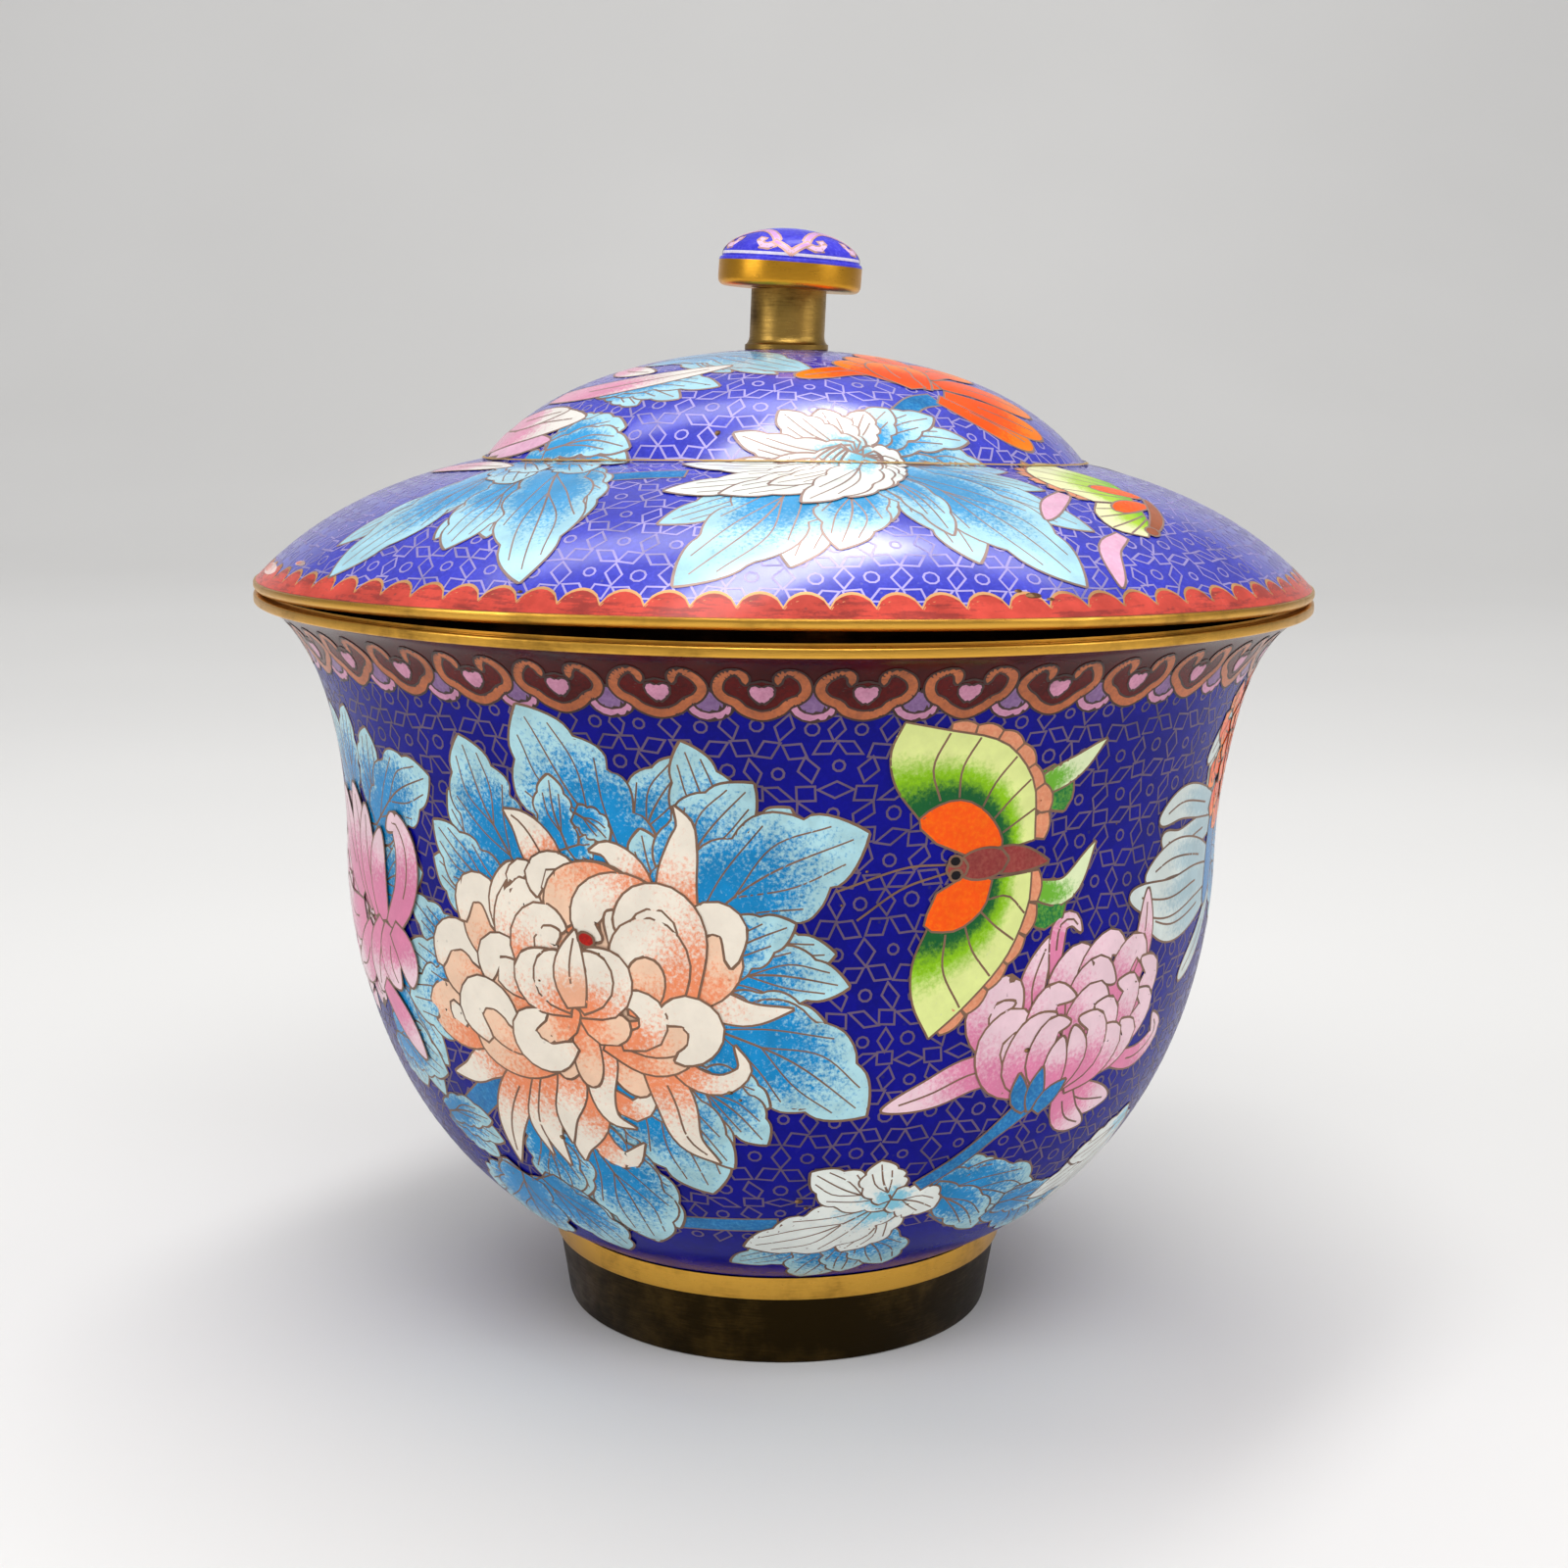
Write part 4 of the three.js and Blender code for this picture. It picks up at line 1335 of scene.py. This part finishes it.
def wing(inlay, inner, outer, finish, rows, cols, bow=0.0):
    """A field ruled between an inner and an outer line, with its own layer.
    bow swells it to the left where its head side is."""
    root, edge = Line(inlay.face, inner), Line(inlay.face, outer)
    stations = []
    for j in range(cols + 1):
        share = j / cols
        stations.append((root.station(root.length * share)[0], edge.station(edge.length * share)[0]))
    def spot_of(along, across):
        near, far = stations[round(across * cols)]
        swell = 4 * along * (1 - along)
        return near.lerp(far, along) - Vector((bow * swell * (1 - across) ** 2, 0))
    spots = [spot_of(i / 12, j / cols) for i in range(13) for j in range(cols + 1)]
    lift = LAYER_BASE + LAYER_STEP * inlay.face.claim(spots)
    inlay.lay(rows, cols, spot_of, lift + FIELD_LIFT, finish)
    top = lift + VEIN_LIFT
    for line in (root, edge):
        inlay.strip(line, 0, line.length, max(6, cols), 1, lambda share: inlay.wire / 2, top,
                    inlay.finishes[0])
    for across in (0, 1):
        inlay.vein([spot_of(along, across) for along in (0, 0.33, 0.67, 1)], top)
    return spot_of, top


def wing_finish(name, root, *stops):
    """Zones of colour from a wing's root to its edge, blended in grains."""
    name += " enamel"
    if name in bpy.data.materials:
        return bpy.data.materials[name]
    material = enamel(name, (0.5, 0.5, 0.5), (0.5, 0.5, 0.5), 0.0, 0.5, 0.15, 0.2)
    tree = material.node_tree
    along = across_edge(tree)[0]
    grain = noise_node(tree, object_place(tree), WING_GRAIN_SCALE, 3, 0.65)
    grain = times(tree, math_node(tree, "SUBTRACT", grain, 0.5), 0.4)
    along = add(tree, along, grain, clamp=True)
    colour = shade(*root)
    for low, high, tint in stops:
        colour = mix_node(tree, range_node(tree, along, low, high), colour, shade(*tint))
    group = next(n for n in tree.nodes if n.type == "GROUP")
    feed(tree, group.inputs["Base"], colour)
    return material


def veins(inlay, spot_of, top, shares, drift=0.01):
    """Veins from a wing's root to its edge."""
    for share in shares:
        inlay.vein([spot_of(0.05, share), spot_of(0.5, share + drift), spot_of(0.97, share)], top)


def small_butterfly(inlay, shift):
    """The lid's butterfly, flying down to the right with its wings behind it."""
    fore = wing_finish(
        "small wing", (120, 196, 20), (0.05, 0.4, (176, 214, 60)), (0.45, 0.8, (238, 240, 186)))
    orange, body = glass("wing orange"), glass("small body")
    scallop_row(inlay, shift(((72, 49), (63, 45), (60.6, 38), (64, 30.6))), 6, 3.4)
    for inner, outer in (
            (((86, 38), (82, 33), (77, 28.6)),
             ((84, 49), (73, 49), (64, 45), (61.4, 38), (65, 30))),
            (((77, 28), (74, 25), (71.5, 22)),
             ((65, 29.4), (60.4, 25.6), (60, 20.4), (66, 17.6)))):
        spot_of, top = wing(inlay, shift(inner), shift(outer), fore, 9, 10)
        veins(inlay, spot_of, top, (0.2, 0.4, 0.6, 0.8), 0)
    for points, width, finish in (
            (((84, 31), (79, 34), (73, 36)), 4.2, orange),
            (((80, 28), (74, 28), (67, 26.4)), 3.8, orange),
            (((84, 30), (77, 24), (68, 18.6)), 2.2, body), (((70.4, 19.8), (67.4, 18.6)), 2.2, body)):
        inlay.cell(shift(points), width, oval, finish)


def scallop_row(inlay, points, count, depth):
    """Scallops side by side along a line, outside it on its left."""
    line = Line(inlay.face, points)
    for i in range(count):
        share = (i + 0.5) / count
        spot, side = line.station(line.length * share)
        end = line.station(line.length * min(1, share + 0.46 / count))[0]
        start = line.station(line.length * max(0, share - 0.46 / count))[0]
        inlay.cell(
            (start, spot + side * depth * 0.2, end), depth, rounded_band, glass("wing trim"))


def butterfly(inlay, place):
    """A butterfly seen from above, flying to the left. place moves its chart places."""
    green, tail = glass("wing green"), glass("wing tail")
    body, orange, eye = glass("butterfly body"), glass("wing orange"), glass("butterfly eye")
    fore = wing_finish(
        "fore wing", (16, 92, 44), (0.12, 0.42, (140, 198, 16)), (0.38, 0.72, (228, 238, 152)))
    inlay.cell(place(((41, 108), (46, 112), (49, 107))), 6.5, oval, green)
    inlay.cell(place(((42, 111), (50, 114.5), (55.5, 119))), 4.2, pointed_petal, tail)
    inlay.cell(place(((43, 90), (48, 90), (48, 95))), 6, oval, green)
    inlay.cell(place(((43, 94), (51, 93), (57, 100.5))), 4.2, pointed_petal, tail)
    for count, points in FORE_WING_SCALLOPS:
        scallop_row(inlay, place(points), count, 3.2)
    for inner, outer, shares in FORE_WINGS:
        spot_of, top = wing(inlay, place(inner), place(outer), fore, 10, 14, 3.4)
        veins(inlay, spot_of, top, shares)
    for inner, outer, cols in ORANGE_WINGS:
        wing(inlay, place(inner), place(outer), orange, 6, cols)
    for points, width, shape, finish in (
            (((34, 99.4), (40, 99.4), (46.6, 98.4)), 4.6, pointed_petal, body),
            (((29.6, 98.6), (33, 99), (38.5, 99.6)), 5, oval, body),
            (((27.6, 98.4), (29.2, 98.6), (31, 98.9)), 3, oval, body),
            (((28, 99.9), (29.8, 99.8)), 1.5, oval, eye), (((28.2, 97.4), (30, 97.5)), 1.5, oval, eye)):
        inlay.cell(place(points), width, shape, finish)
    for feeler in (((28, 99.3), (20, 99), (9, 95.4)), ((28, 98), (20, 95.6), (12.5, 90.5))):
        inlay.vein(place(feeler), LAYER_BASE + LAYER_STEP * 3)


# Ruyi border of the bowl

RUYI_HALF = (
    (2.3, 131.9), (2.5, 133.9), (3.9, 134.9), (5.8, 133.4), (6.5, 131), (5.6, 129.2),
    (4, 128.2), (2.6, 126.8), (0, 125.8),
)


def ruyi_border():
    inlay = Inlay(BOWL_FACE, wire("border dark"))
    stroke, inside, heart = glass("ruyi"), glass("ruyi inside"), glass("ruyi heart")
    count = bpy.context.scene.urn_sizes.ruyi_heads
    pitch = AROUND / count
    rng = random.Random(5)
    for i in range(count):
        x = RUYI_START + i * pitch + rng.uniform(-0.3, 0.3) + pitch / 2
        for half, low, high, width, finish, layer in (
                (3.4, 128.9, 127.4, 5.2, "pink scallop", 1),
                (2.1, 129.4, 128.6, 4.4, "lilac scallop", 2)):
            inlay.cell(((x - half, low), (x, high), (x + half, low)), width, oval,
                       glass(finish), layer=layer)
    for i in range(count):
        x = RUYI_START + i * pitch + rng.uniform(-0.25, 0.25)
        half = [(x + a * rng.uniform(0.96, 1.04), y + rng.uniform(-0.12, 0.12)) for a, y in RUYI_HALF]
        other = [(2 * x - a, y) for a, y in reversed(half[:-1])]
        inlay.cell(((x, 126), (x, 129), (x, 132.6)), 8, oval, inside, layer=3)
        for side in (-1, 1):
            inlay.cell(((x + side * 4.4, 129), (x + side * 4.2, 131.5), (x + side * 4, 134)), 4,
                       oval, inside, layer=3)
        inlay.cell(half + other, 1.5, rounded_band, stroke, layer=5)
        for side in (-1, 1):
            inlay.cell(((x, 128.5), (x + side * 0.9, 130.4), (x + side * 0.9, 131.7)), 1.9,
                       round_petal, heart, layer=7)
        for side in (-1, 0, 1):
            inlay.cell(((x, 128.6), (x + side * 0.8, 130.4), (x + side * 0.8, 131.5)), 1.8,
                       round_petal, heart, layer=8, wired=False)
    return inlay.finish("ruyi_border", "bowl_enamel")


# Border and crease of the lid

def lid_border():
    inlay = Inlay(LID_FACE, wire("border"))
    count = bpy.context.scene.urn_sizes.scallops

    def scallops(low, spill):
        def spot(along, across):
            rise = SCALLOP_RISE * abs(math.sin(math.pi * along * count)) ** 0.6
            return Vector((AROUND * along, (low + rise + spill) * across))
        return spot

    inlay.lay(count * 8, 3, scallops(2.2, 0.2), LAYER_BASE, inlay.finishes[0])
    inlay.lay(count * 8, 3, scallops(1.9, -0.1), LAYER_BASE + FIELD_LIFT, glass("scallop"))
    return inlay.finish("scallop_border", "lid_enamel")


def crease_wire():
    inlay = Inlay(LID_FACE, wire("crease"))
    inlay.lay(
        TURN_STEPS, 2, lambda along, across: Vector((AROUND * along, CREASE + CREASE_WIRE * across)),
        CREASE_LIFT, inlay.finishes[0])
    return inlay.finish("crease_wire", "lid_enamel")


# Bowl pictures

def bowl_leaves():
    inlay = Inlay(BOWL_FACE, wire("bowl"))
    inlay.cells(BOWL_STEMS, band, "stem")
    inlay.leaves(BOWL_LEAVES, "leaf")
    inlay.leaves(BOWL_WHITE_LEAVES, "white leaf")
    inlay.cells(PALE_PETALS, round_petal, "pale petal", fold=True)
    inlay.cell(((100, 82), (103, 92), (103, 103)), 6, oval, glass("stem"))
    return inlay.finish("bowl_leaves", "bowl_enamel")


def bowl_back_leaves():
    inlay = Inlay(BOWL_FACE, wire("bowl"))
    inlay.leaves(BOWL_LEAVES[:17], "leaf", 225, True)
    inlay.leaves(BOWL_LEAVES[7:11] + BOWL_LEAVES[16:18], "leaf", 370)
    for across in (150, 330):
        inlay.leaves(BOWL_WHITE_LEAVES[:1], "white leaf", across)
    return inlay.finish("bowl_back_leaves", "bowl_enamel")


SIDE_PETALS = (
    (9, ((-94, 84), (-102, 92), (-106, 102))),
    (9, ((-94, 80), (-104, 78), (-110, 84))),
    (8, ((-90, 78), (-98, 70), (-106, 68))),
    (9, ((-88, 83), (-94, 93), (-97, 104))),
    (8, ((-86, 82), (-91, 92), (-90.6, 101))),
    (6.6, ((-84, 81), (-86, 90), (-84, 97.6))),
    (7, ((-81, 80), (-75.6, 87), (-74.6, 94.6), (-77.6, 99.6), (-81, 98))),
    (8.5, ((-84, 80), (-89, 72), (-91, 66))),
    (8, ((-81.4, 80), (-83, 73), (-80.6, 68.6))),
    (6.6, ((-80.4, 80), (-76.4, 76), (-75.8, 70))),
    (6.4, ((-88, 68), (-82, 62), (-77.4, 55.6))),
)


def bowl_side_flowers():
    inlay = Inlay(BOWL_FACE, wire("bowl"))
    rosette(inlay, (-106, 80), 20, "pink petal", "pink hood")
    for width, points in SIDE_PETALS:
        inlay.cell(points, width, curled_petal, glass("pink petal"), fold=width > 6.8)
    rosette(inlay, (112, 112), 17, "orange petal", "orange petal")
    rosette(inlay, (348, 78), 24, "pink petal", "pink hood")
    return inlay.finish("side_flowers", "bowl_enamel")


def bowl_butterflies():
    inlay = Inlay(BOWL_FACE, wire("bowl"))
    for across, up in ((0, 0), (128, -3)):
        butterfly(inlay, lambda points: [Vector((x + across, y + up)) for x, y in points])
    return inlay.finish("butterflies", "bowl_enamel")


# Stains and rubbed places: where each is, its length and its width

BOWL_STAINS = (
    (-43, 46.6, 1.4, 1), (-42.2, 48.2, 0.8, 0.5), (-42, 77.4, 0.5, 0.4), (-30.4, 83.4, 0.4, 0.4),
    (-8.4, 60, 1.2, 0.7), (-6.6, 58.6, 0.6, 0.5), (4.4, 35.4, 1.8, 1.2), (6, 33.6, 1, 0.7),
    (45.6, 65, 1.3, 0.9), (14, 98.6, 0.5, 0.5), (-3.4, 105, 0.4, 0.4), (10, 93, 0.5, 0.4),
    (62, 103, 0.4, 0.4), (-20, 99, 0.4, 0.4), (28, 33, 0.8, 0.5),
)
LID_STAINS = (
    (-18.5, 55, 1.6, 1.3), (35, 4.4, 2.6, 1.2), (33, 5.4, 1.2, 0.7), (37.4, 3.6, 1.3, 0.6),
    (-37, 4, 0.9, 0.6), (-66, 24, 0.5, 0.5), (12, 24, 0.5, 0.4), (-30, 70, 0.5, 0.5),
)
LID_RUBBED = ((-108, 3.4, 14, 2.6), (-92, 6.4, 5, 1.2))


def stained(face, places, name, slot):
    """Flat patches of discoloured enamel, flush with what they lie on."""
    inlay = Inlay(face, wire("bowl"))
    for x, y, length, width in places:
        inlay.cell(((x - length / 2, y), (x, y + 0.1), (x + length / 2, y)), width, oval,
                   glass(name), wired=False)
    return inlay.finish(name, slot)


# Lid pictures

LID_LEAVES = (
    ((-74, 44), (((-85, 12), 10), ((-70, 13), 9), ((-77, 4.6), 15))),
    ((-62, 40), (((-60, 15.5), 9), ((-49.5, 16.5), 10), ((-55.6, 13), 13))),
    ((-56, 44), (((-36.5, 30), 10), ((-35, 21), 12), ((-37.8, 6), 15))),
    ((-80, 48), (((-61, 35.5), 11), ((-61, 42), 9))),
    ((-62, 49), (((-47, 41.5), 9), ((-41, 48), 7))),
    ((-72, 51), (((-57, 59), 9), ((-47.5, 56.5), 9), ((-42.4, 51.6), 7))),
    ((4, 46), (((-20.5, 21.5), 10), ((1, 10.8), 13), ((-15, 6.2), 16))),
    ((12, 40), (((17.5, 23), 8), ((8.3, 15.2), 12))),
    ((20, 48), (((57, 45), 11), ((56.5, 35), 11), ((54.5, 20), 13), ((29, 11.8), 13), ((44.3, 6.2), 18))),
    ((20, 44), (((27, 19), 7),)),
    ((19, 51), (((53, 54), 7), ((46, 60), 8), ((32, 62), 8))),
)
LID_WHITE_LEAVES = (
    ((18, 51), (((24, 61), 7), ((10.5, 61.4), 8), ((-1.6, 60.8), 8), ((-13.7, 54.9), 6.6))),
    ((18, 50), (((-24.6, 47), 8), ((-23, 32.8), 11), ((-12, 31.8), 10), ((-3, 36), 7))),
    ((20, 50), (((30, 47), 6), ((25, 40), 7), ((19, 34.6), 8), ((12, 31), 9), ((3.2, 28.8), 9))),
)
LID_TOP_LEAVES = (
    ((-74, 68), (((-50, 63), 6), ((-36, 65), 7), ((-24.4, 69.4), 8))),
    ((-96, 86), (((-40, 90), 9), ((-24, 76), 8), ((-4, 75), 8), ((12, 77), 14))),
)
LID_STEMS = (
    (3.6, ((-42, 38.5), (-32, 40.5), (-22, 41.5))),
    (3.6, ((54, 66), (44, 64.5), (34, 60))),
)
LID_PINK = (
    (5.4, ((-110, 80), (-88, 78), (-66, 77))),
    (7, ((-110, 66), (-80, 69), (-52, 74), (-27, 80))),
    (5, ((-110, 50), (-92, 52), (-74, 53.4))),
    (8.6, ((-118, 52), (-94, 57), (-67, 59.4))),
    (5.4, ((-114, 57), (-98, 59), (-80, 61.6))),
    (6, ((-118, 40), (-98, 44), (-76.6, 44.6))),
    (3.6, ((60, 33), (53, 29), (47, 23.6))),
    (3.6, ((60, 18.4), (54, 14.6), (50.7, 5.8))),
)
LID_ORANGE = (
    (5, ((44, 76), (28, 77.5), (4, 74))),
    (8, ((50, 72), (40, 80), (28, 84))),
    (8, ((60, 70), (56, 82), (44, 89))),
    (8, ((56, 66), (68, 60), (80, 53))),
    (8, ((62, 68), (76, 62), (92, 56))),
    (9, ((66, 72), (84, 70), (104, 62))),
    (9, ((66, 76), (86, 80), (110, 76))),
    (9, ((64, 80), (76, 90), (96, 90))),
    (8, ((54, 70), (60, 78), (72, 82))),
    (8, ((52, 70), (50, 77), (58, 84))),
)


def lid_picture(across, name):
    """The leaves and flowers of the lid; the lid has them twice, turned by half a circle."""
    inlay = Inlay(LID_FACE, wire("lid"))
    inlay.cells(LID_STEMS, band, "stem", across)
    inlay.leaves(LID_TOP_LEAVES + LID_LEAVES, "lid leaf", across)
    inlay.leaves(LID_WHITE_LEAVES, "white leaf", across)
    for width, points in LID_PINK:
        large = width > 5
        inlay.cell(moved(points, across), width, curled_petal,
                   glass("blush petal" if large else "bud"), fold=large)
    inlay.cells(LID_ORANGE, round_petal, "orange petal", across, fold=True)
    small_butterfly(inlay, lambda points: moved(points, across))
    return inlay.finish(name, "lid_enamel")


# Cap of the knob

CAP_SCROLL = (
    (1.1, ((0, 8.3), (3.5, 7.4), (6.4, 5), (7, 3), (5, 2), (3.3, 2.8), (3.6, 4.2))),
    (0.7, ((6.6, 3.4), (8.6, 2.2), (10.2, 1))),
)


def cap_scrolls():
    inlay = Inlay(CAP_FACE, wire("cap"))
    around = math.tau * CAP_FACE.unit
    inlay.lay(96, 1, lambda along, across: Vector((around * along, 0.35 + 0.55 * across)),
              LAYER_BASE, glass("cap fringe"))
    for i in range(4):
        x = around * (i + 0.5) / 4 - around / 2
        for side in (-1, 1):
            for width, points in CAP_SCROLL:
                inlay.cell([(x + side * a, y) for a, y in points], width, band, glass("cap scroll"))
    return inlay.finish("cap_scrolls", "knob_enamel")


# Stage

def make_stage():
    """A paper floor that sweeps up behind the urn."""
    line = [(y, 0) for y in (-2.4, -1.2, 0, 1.0)]
    for a in [math.pi / 2 * i / 16 for i in range(17)]:
        line.append((1.6 + 1.4 * math.sin(a), 1.4 - 1.4 * math.cos(a)))
    line.append((3.0, 4.5))
    bm = bmesh.new()
    spots = [bm.verts.new((-4, y, z)) for y, z in line]
    edges = [bm.edges.new(pair) for pair in zip(spots, spots[1:])]
    made = bmesh.ops.extrude_edge_only(bm, edges=edges)
    bmesh.ops.translate(
        bm, verts=[v for v in made["geom"] if isinstance(v, bmesh.types.BMVert)], vec=(8, 0, 0))
    bmesh.ops.recalc_face_normals(bm, faces=bm.faces)
    for face in bm.faces:
        face.smooth = True
        if face.normal.z < 0:
            face.normal_flip()
    mesh = bpy.data.meshes.new("floor")
    bm.to_mesh(mesh)
    bm.free()
    floor = bpy.data.objects.new("floor", mesh)
    bpy.context.scene.collection.objects.link(floor)
    material, tree, shader = new_material("floor paper")
    clouds = range_node(tree, noise_node(tree, object_place(tree), 2, 2), 0.3, 0.7)
    paper = mix_node(tree, clouds, shade(232, 231, 229), shade(236, 235, 233))
    feed(tree, shader["Base Color"], paper)
    feed(tree, shader["Roughness"], 0.85)
    mesh.materials.append(material)


def add_light(name, spot, aim, size, power):
    light = bpy.data.lights.new(name, "AREA")
    light.shape = "RECTANGLE"
    light.size, light.size_y = size
    light.energy = power
    lamp = bpy.data.objects.new(name, light)
    bpy.context.scene.collection.objects.link(lamp)
    lamp.location = spot
    lamp.rotation_euler = (Vector(aim) - Vector(spot)).to_track_quat("-Z", "Y").to_euler()


# Lights: name, place, aim, size and power
LIGHTS = (
    ("overhead", (-0.03, 0.02, 1.05), (0, 0, 0.1), (0.8, 0.16), 3.8),
    ("front", (0.1, -1.15, 1.35), (0, 0, 0.06), (1.3, 0.8), 12),
    ("left", (-1.4, -0.7, 0.75), (0, 0, 0.08), (0.8, 0.8), 6),
    ("right", (1.4, -0.6, 0.75), (0, 0, 0.08), (0.8, 0.8), 5),
    ("backdrop", (0, 0.9, 2.2), (0, 2.4, 0.6), (2.5, 1.2), 22),
)
CAMERA_PLACE = (0.0004, -0.460, 0.184)
CAMERA_DOWN = math.radians(10.1)
CAMERA_ROLL = math.radians(0.6)
CAMERA_LENS = 54.8


def make_lights_and_camera():
    scene = bpy.context.scene
    world = bpy.data.worlds.new("studio")
    world.use_nodes = True
    background = world.node_tree.nodes["Background"].inputs
    background["Color"].default_value = (*shade(238, 238, 240), 1)
    background["Strength"].default_value = 0.36
    scene.world = world
    for light in LIGHTS:
        add_light(*light)
    camera = bpy.data.cameras.new("camera")
    camera.sensor_width = 36
    camera.lens = CAMERA_LENS
    camera.clip_start = 0.01
    holder = bpy.data.objects.new("camera", camera)
    scene.collection.objects.link(holder)
    turn_down = Matrix.Rotation(math.pi / 2 - CAMERA_DOWN, 4, "X")
    holder.matrix_world = (
        Matrix.Translation(CAMERA_PLACE) @ turn_down @ Matrix.Rotation(CAMERA_ROLL, 4, "Z"))
    scene.camera = holder
    scene.view_settings.view_transform = "Standard"


class URN_OT_bowl(bpy.types.Operator):
    """Turn the enamelled bowl with its gilt rim"""
    bl_idname = "urn.bowl"
    bl_label = "Bowl"

    def execute(self, context):
        make_bowl()
        return {"FINISHED"}


class URN_OT_foot(bpy.types.Operator):
    """Turn the brass foot ring"""
    bl_idname = "urn.foot"
    bl_label = "Foot ring"

    def execute(self, context):
        make_foot()
        return {"FINISHED"}


class URN_OT_lid(bpy.types.Operator):
    """Turn the enamelled lid and the collar inside it"""
    bl_idname = "urn.lid"
    bl_label = "Lid and collar"

    def execute(self, context):
        make_lid()
        make_collar()
        return {"FINISHED"}


class URN_OT_knob(bpy.types.Operator):
    """Turn the knob's stem and cap"""
    bl_idname = "urn.knob"
    bl_label = "Knob"

    def execute(self, context):
        make_stem()
        make_cap()
        return {"FINISHED"}


class URN_OT_borders(bpy.types.Operator):
    """Lay the ruyi border, the lid's scallops and the wire in its crease"""
    bl_idname = "urn.borders"
    bl_label = "Borders"

    def execute(self, context):
        ruyi_border()
        lid_border()
        crease_wire()
        return {"FINISHED"}


class URN_OT_ground(bpy.types.Operator):
    """Lay the circles and diamonds of the grounds"""
    bl_idname = "urn.ground"
    bl_label = "Ground wires"

    def execute(self, context):
        ground_pattern(BOWL_FACE, "bowl_ground_wires", 24, 127.6, wire("bowl ground"), 11)
        ground_pattern(LID_FACE, "lid_ground_wires", 4, 103, wire("lid ground"), 12)
        return {"FINISHED"}


class URN_OT_bowl_leaves(bpy.types.Operator):
    """Lay the leaves and stems of the bowl"""
    bl_idname = "urn.bowl_leaves"
    bl_label = "Bowl leaves"

    def execute(self, context):
        bowl_leaves()
        bowl_back_leaves()
        return {"FINISHED"}


class URN_OT_bowl_flowers(bpy.types.Operator):
    """Lay the chrysanthemums of the bowl"""
    bl_idname = "urn.bowl_flowers"
    bl_label = "Bowl flowers"

    def execute(self, context):
        large_flower(0, False, "large_flower")
        large_flower(225, True, "back_flower")
        half_open_flower()
        bowl_side_flowers()
        return {"FINISHED"}


class URN_OT_butterflies(bpy.types.Operator):
    """Lay the butterflies of the bowl"""
    bl_idname = "urn.butterflies"
    bl_label = "Butterflies"

    def execute(self, context):
        bowl_butterflies()
        return {"FINISHED"}


class URN_OT_lid_pictures(bpy.types.Operator):
    """Lay the leaves, flowers and butterflies of the lid and the scrolls of the knob"""
    bl_idname = "urn.lid_pictures"
    bl_label = "Lid and knob pictures"

    def execute(self, context):
        lid_picture(0, "lid_front_picture")
        lid_picture(AROUND / 2, "lid_back_picture")
        cap_scrolls()
        return {"FINISHED"}


class URN_OT_wear(bpy.types.Operator):
    """Stain and rub the enamel in a few small places"""
    bl_idname = "urn.wear"
    bl_label = "Stains and rubbed places"

    def execute(self, context):
        stained(BOWL_FACE, BOWL_STAINS, "bowl_stains", "bowl_enamel")
        stained(LID_FACE, LID_STAINS, "lid_stains", "lid_enamel")
        stained(LID_FACE, LID_RUBBED, "lid_rubbed", "lid_enamel")
        return {"FINISHED"}


class URN_OT_stage(bpy.types.Operator):
    """Lay the floor and set the lights and the camera"""
    bl_idname = "urn.stage"
    bl_label = "Stage"

    def execute(self, context):
        make_stage()
        make_lights_and_camera()
        return {"FINISHED"}


OPERATORS = (
    URN_OT_bowl, URN_OT_foot, URN_OT_lid, URN_OT_knob, URN_OT_ground, URN_OT_borders,
    URN_OT_bowl_leaves, URN_OT_bowl_flowers, URN_OT_butterflies, URN_OT_lid_pictures, URN_OT_wear,
    URN_OT_stage)


class URN_PT_panel(bpy.types.Panel):
    bl_label = "Urn"
    bl_idname = "URN_PT_panel"
    bl_space_type = "VIEW_3D"
    bl_region_type = "UI"
    bl_category = "Urn"

    def draw(self, context):
        for operator in OPERATORS:
            self.layout.operator(operator.bl_idname)
        for group in (context.scene.urn_sizes, context.scene.urn_colours):
            for name in group.__annotations__:
                self.layout.prop(group, name)


CLASSES = (UrnSizes, UrnColours, *OPERATORS, URN_PT_panel)


def register():
    for entry in CLASSES:
        bpy.utils.register_class(entry)
    bpy.types.Scene.urn_sizes = bpy.props.PointerProperty(type=UrnSizes)
    bpy.types.Scene.urn_colours = bpy.props.PointerProperty(type=UrnColours)


def unregister():
    del bpy.types.Scene.urn_colours
    del bpy.types.Scene.urn_sizes
    for entry in reversed(CLASSES):
        bpy.utils.unregister_class(entry)


def main():
    register()
    bpy.ops.urn.bowl()
    bpy.ops.urn.foot()
    bpy.ops.urn.lid()
    bpy.ops.urn.knob()
    bpy.ops.urn.ground()
    bpy.ops.urn.borders()
    bpy.ops.urn.bowl_leaves()
    bpy.ops.urn.bowl_flowers()
    bpy.ops.urn.butterflies()
    bpy.ops.urn.lid_pictures()
    bpy.ops.urn.wear()
    bpy.ops.urn.stage()


if __name__ == "__main__":
    main()
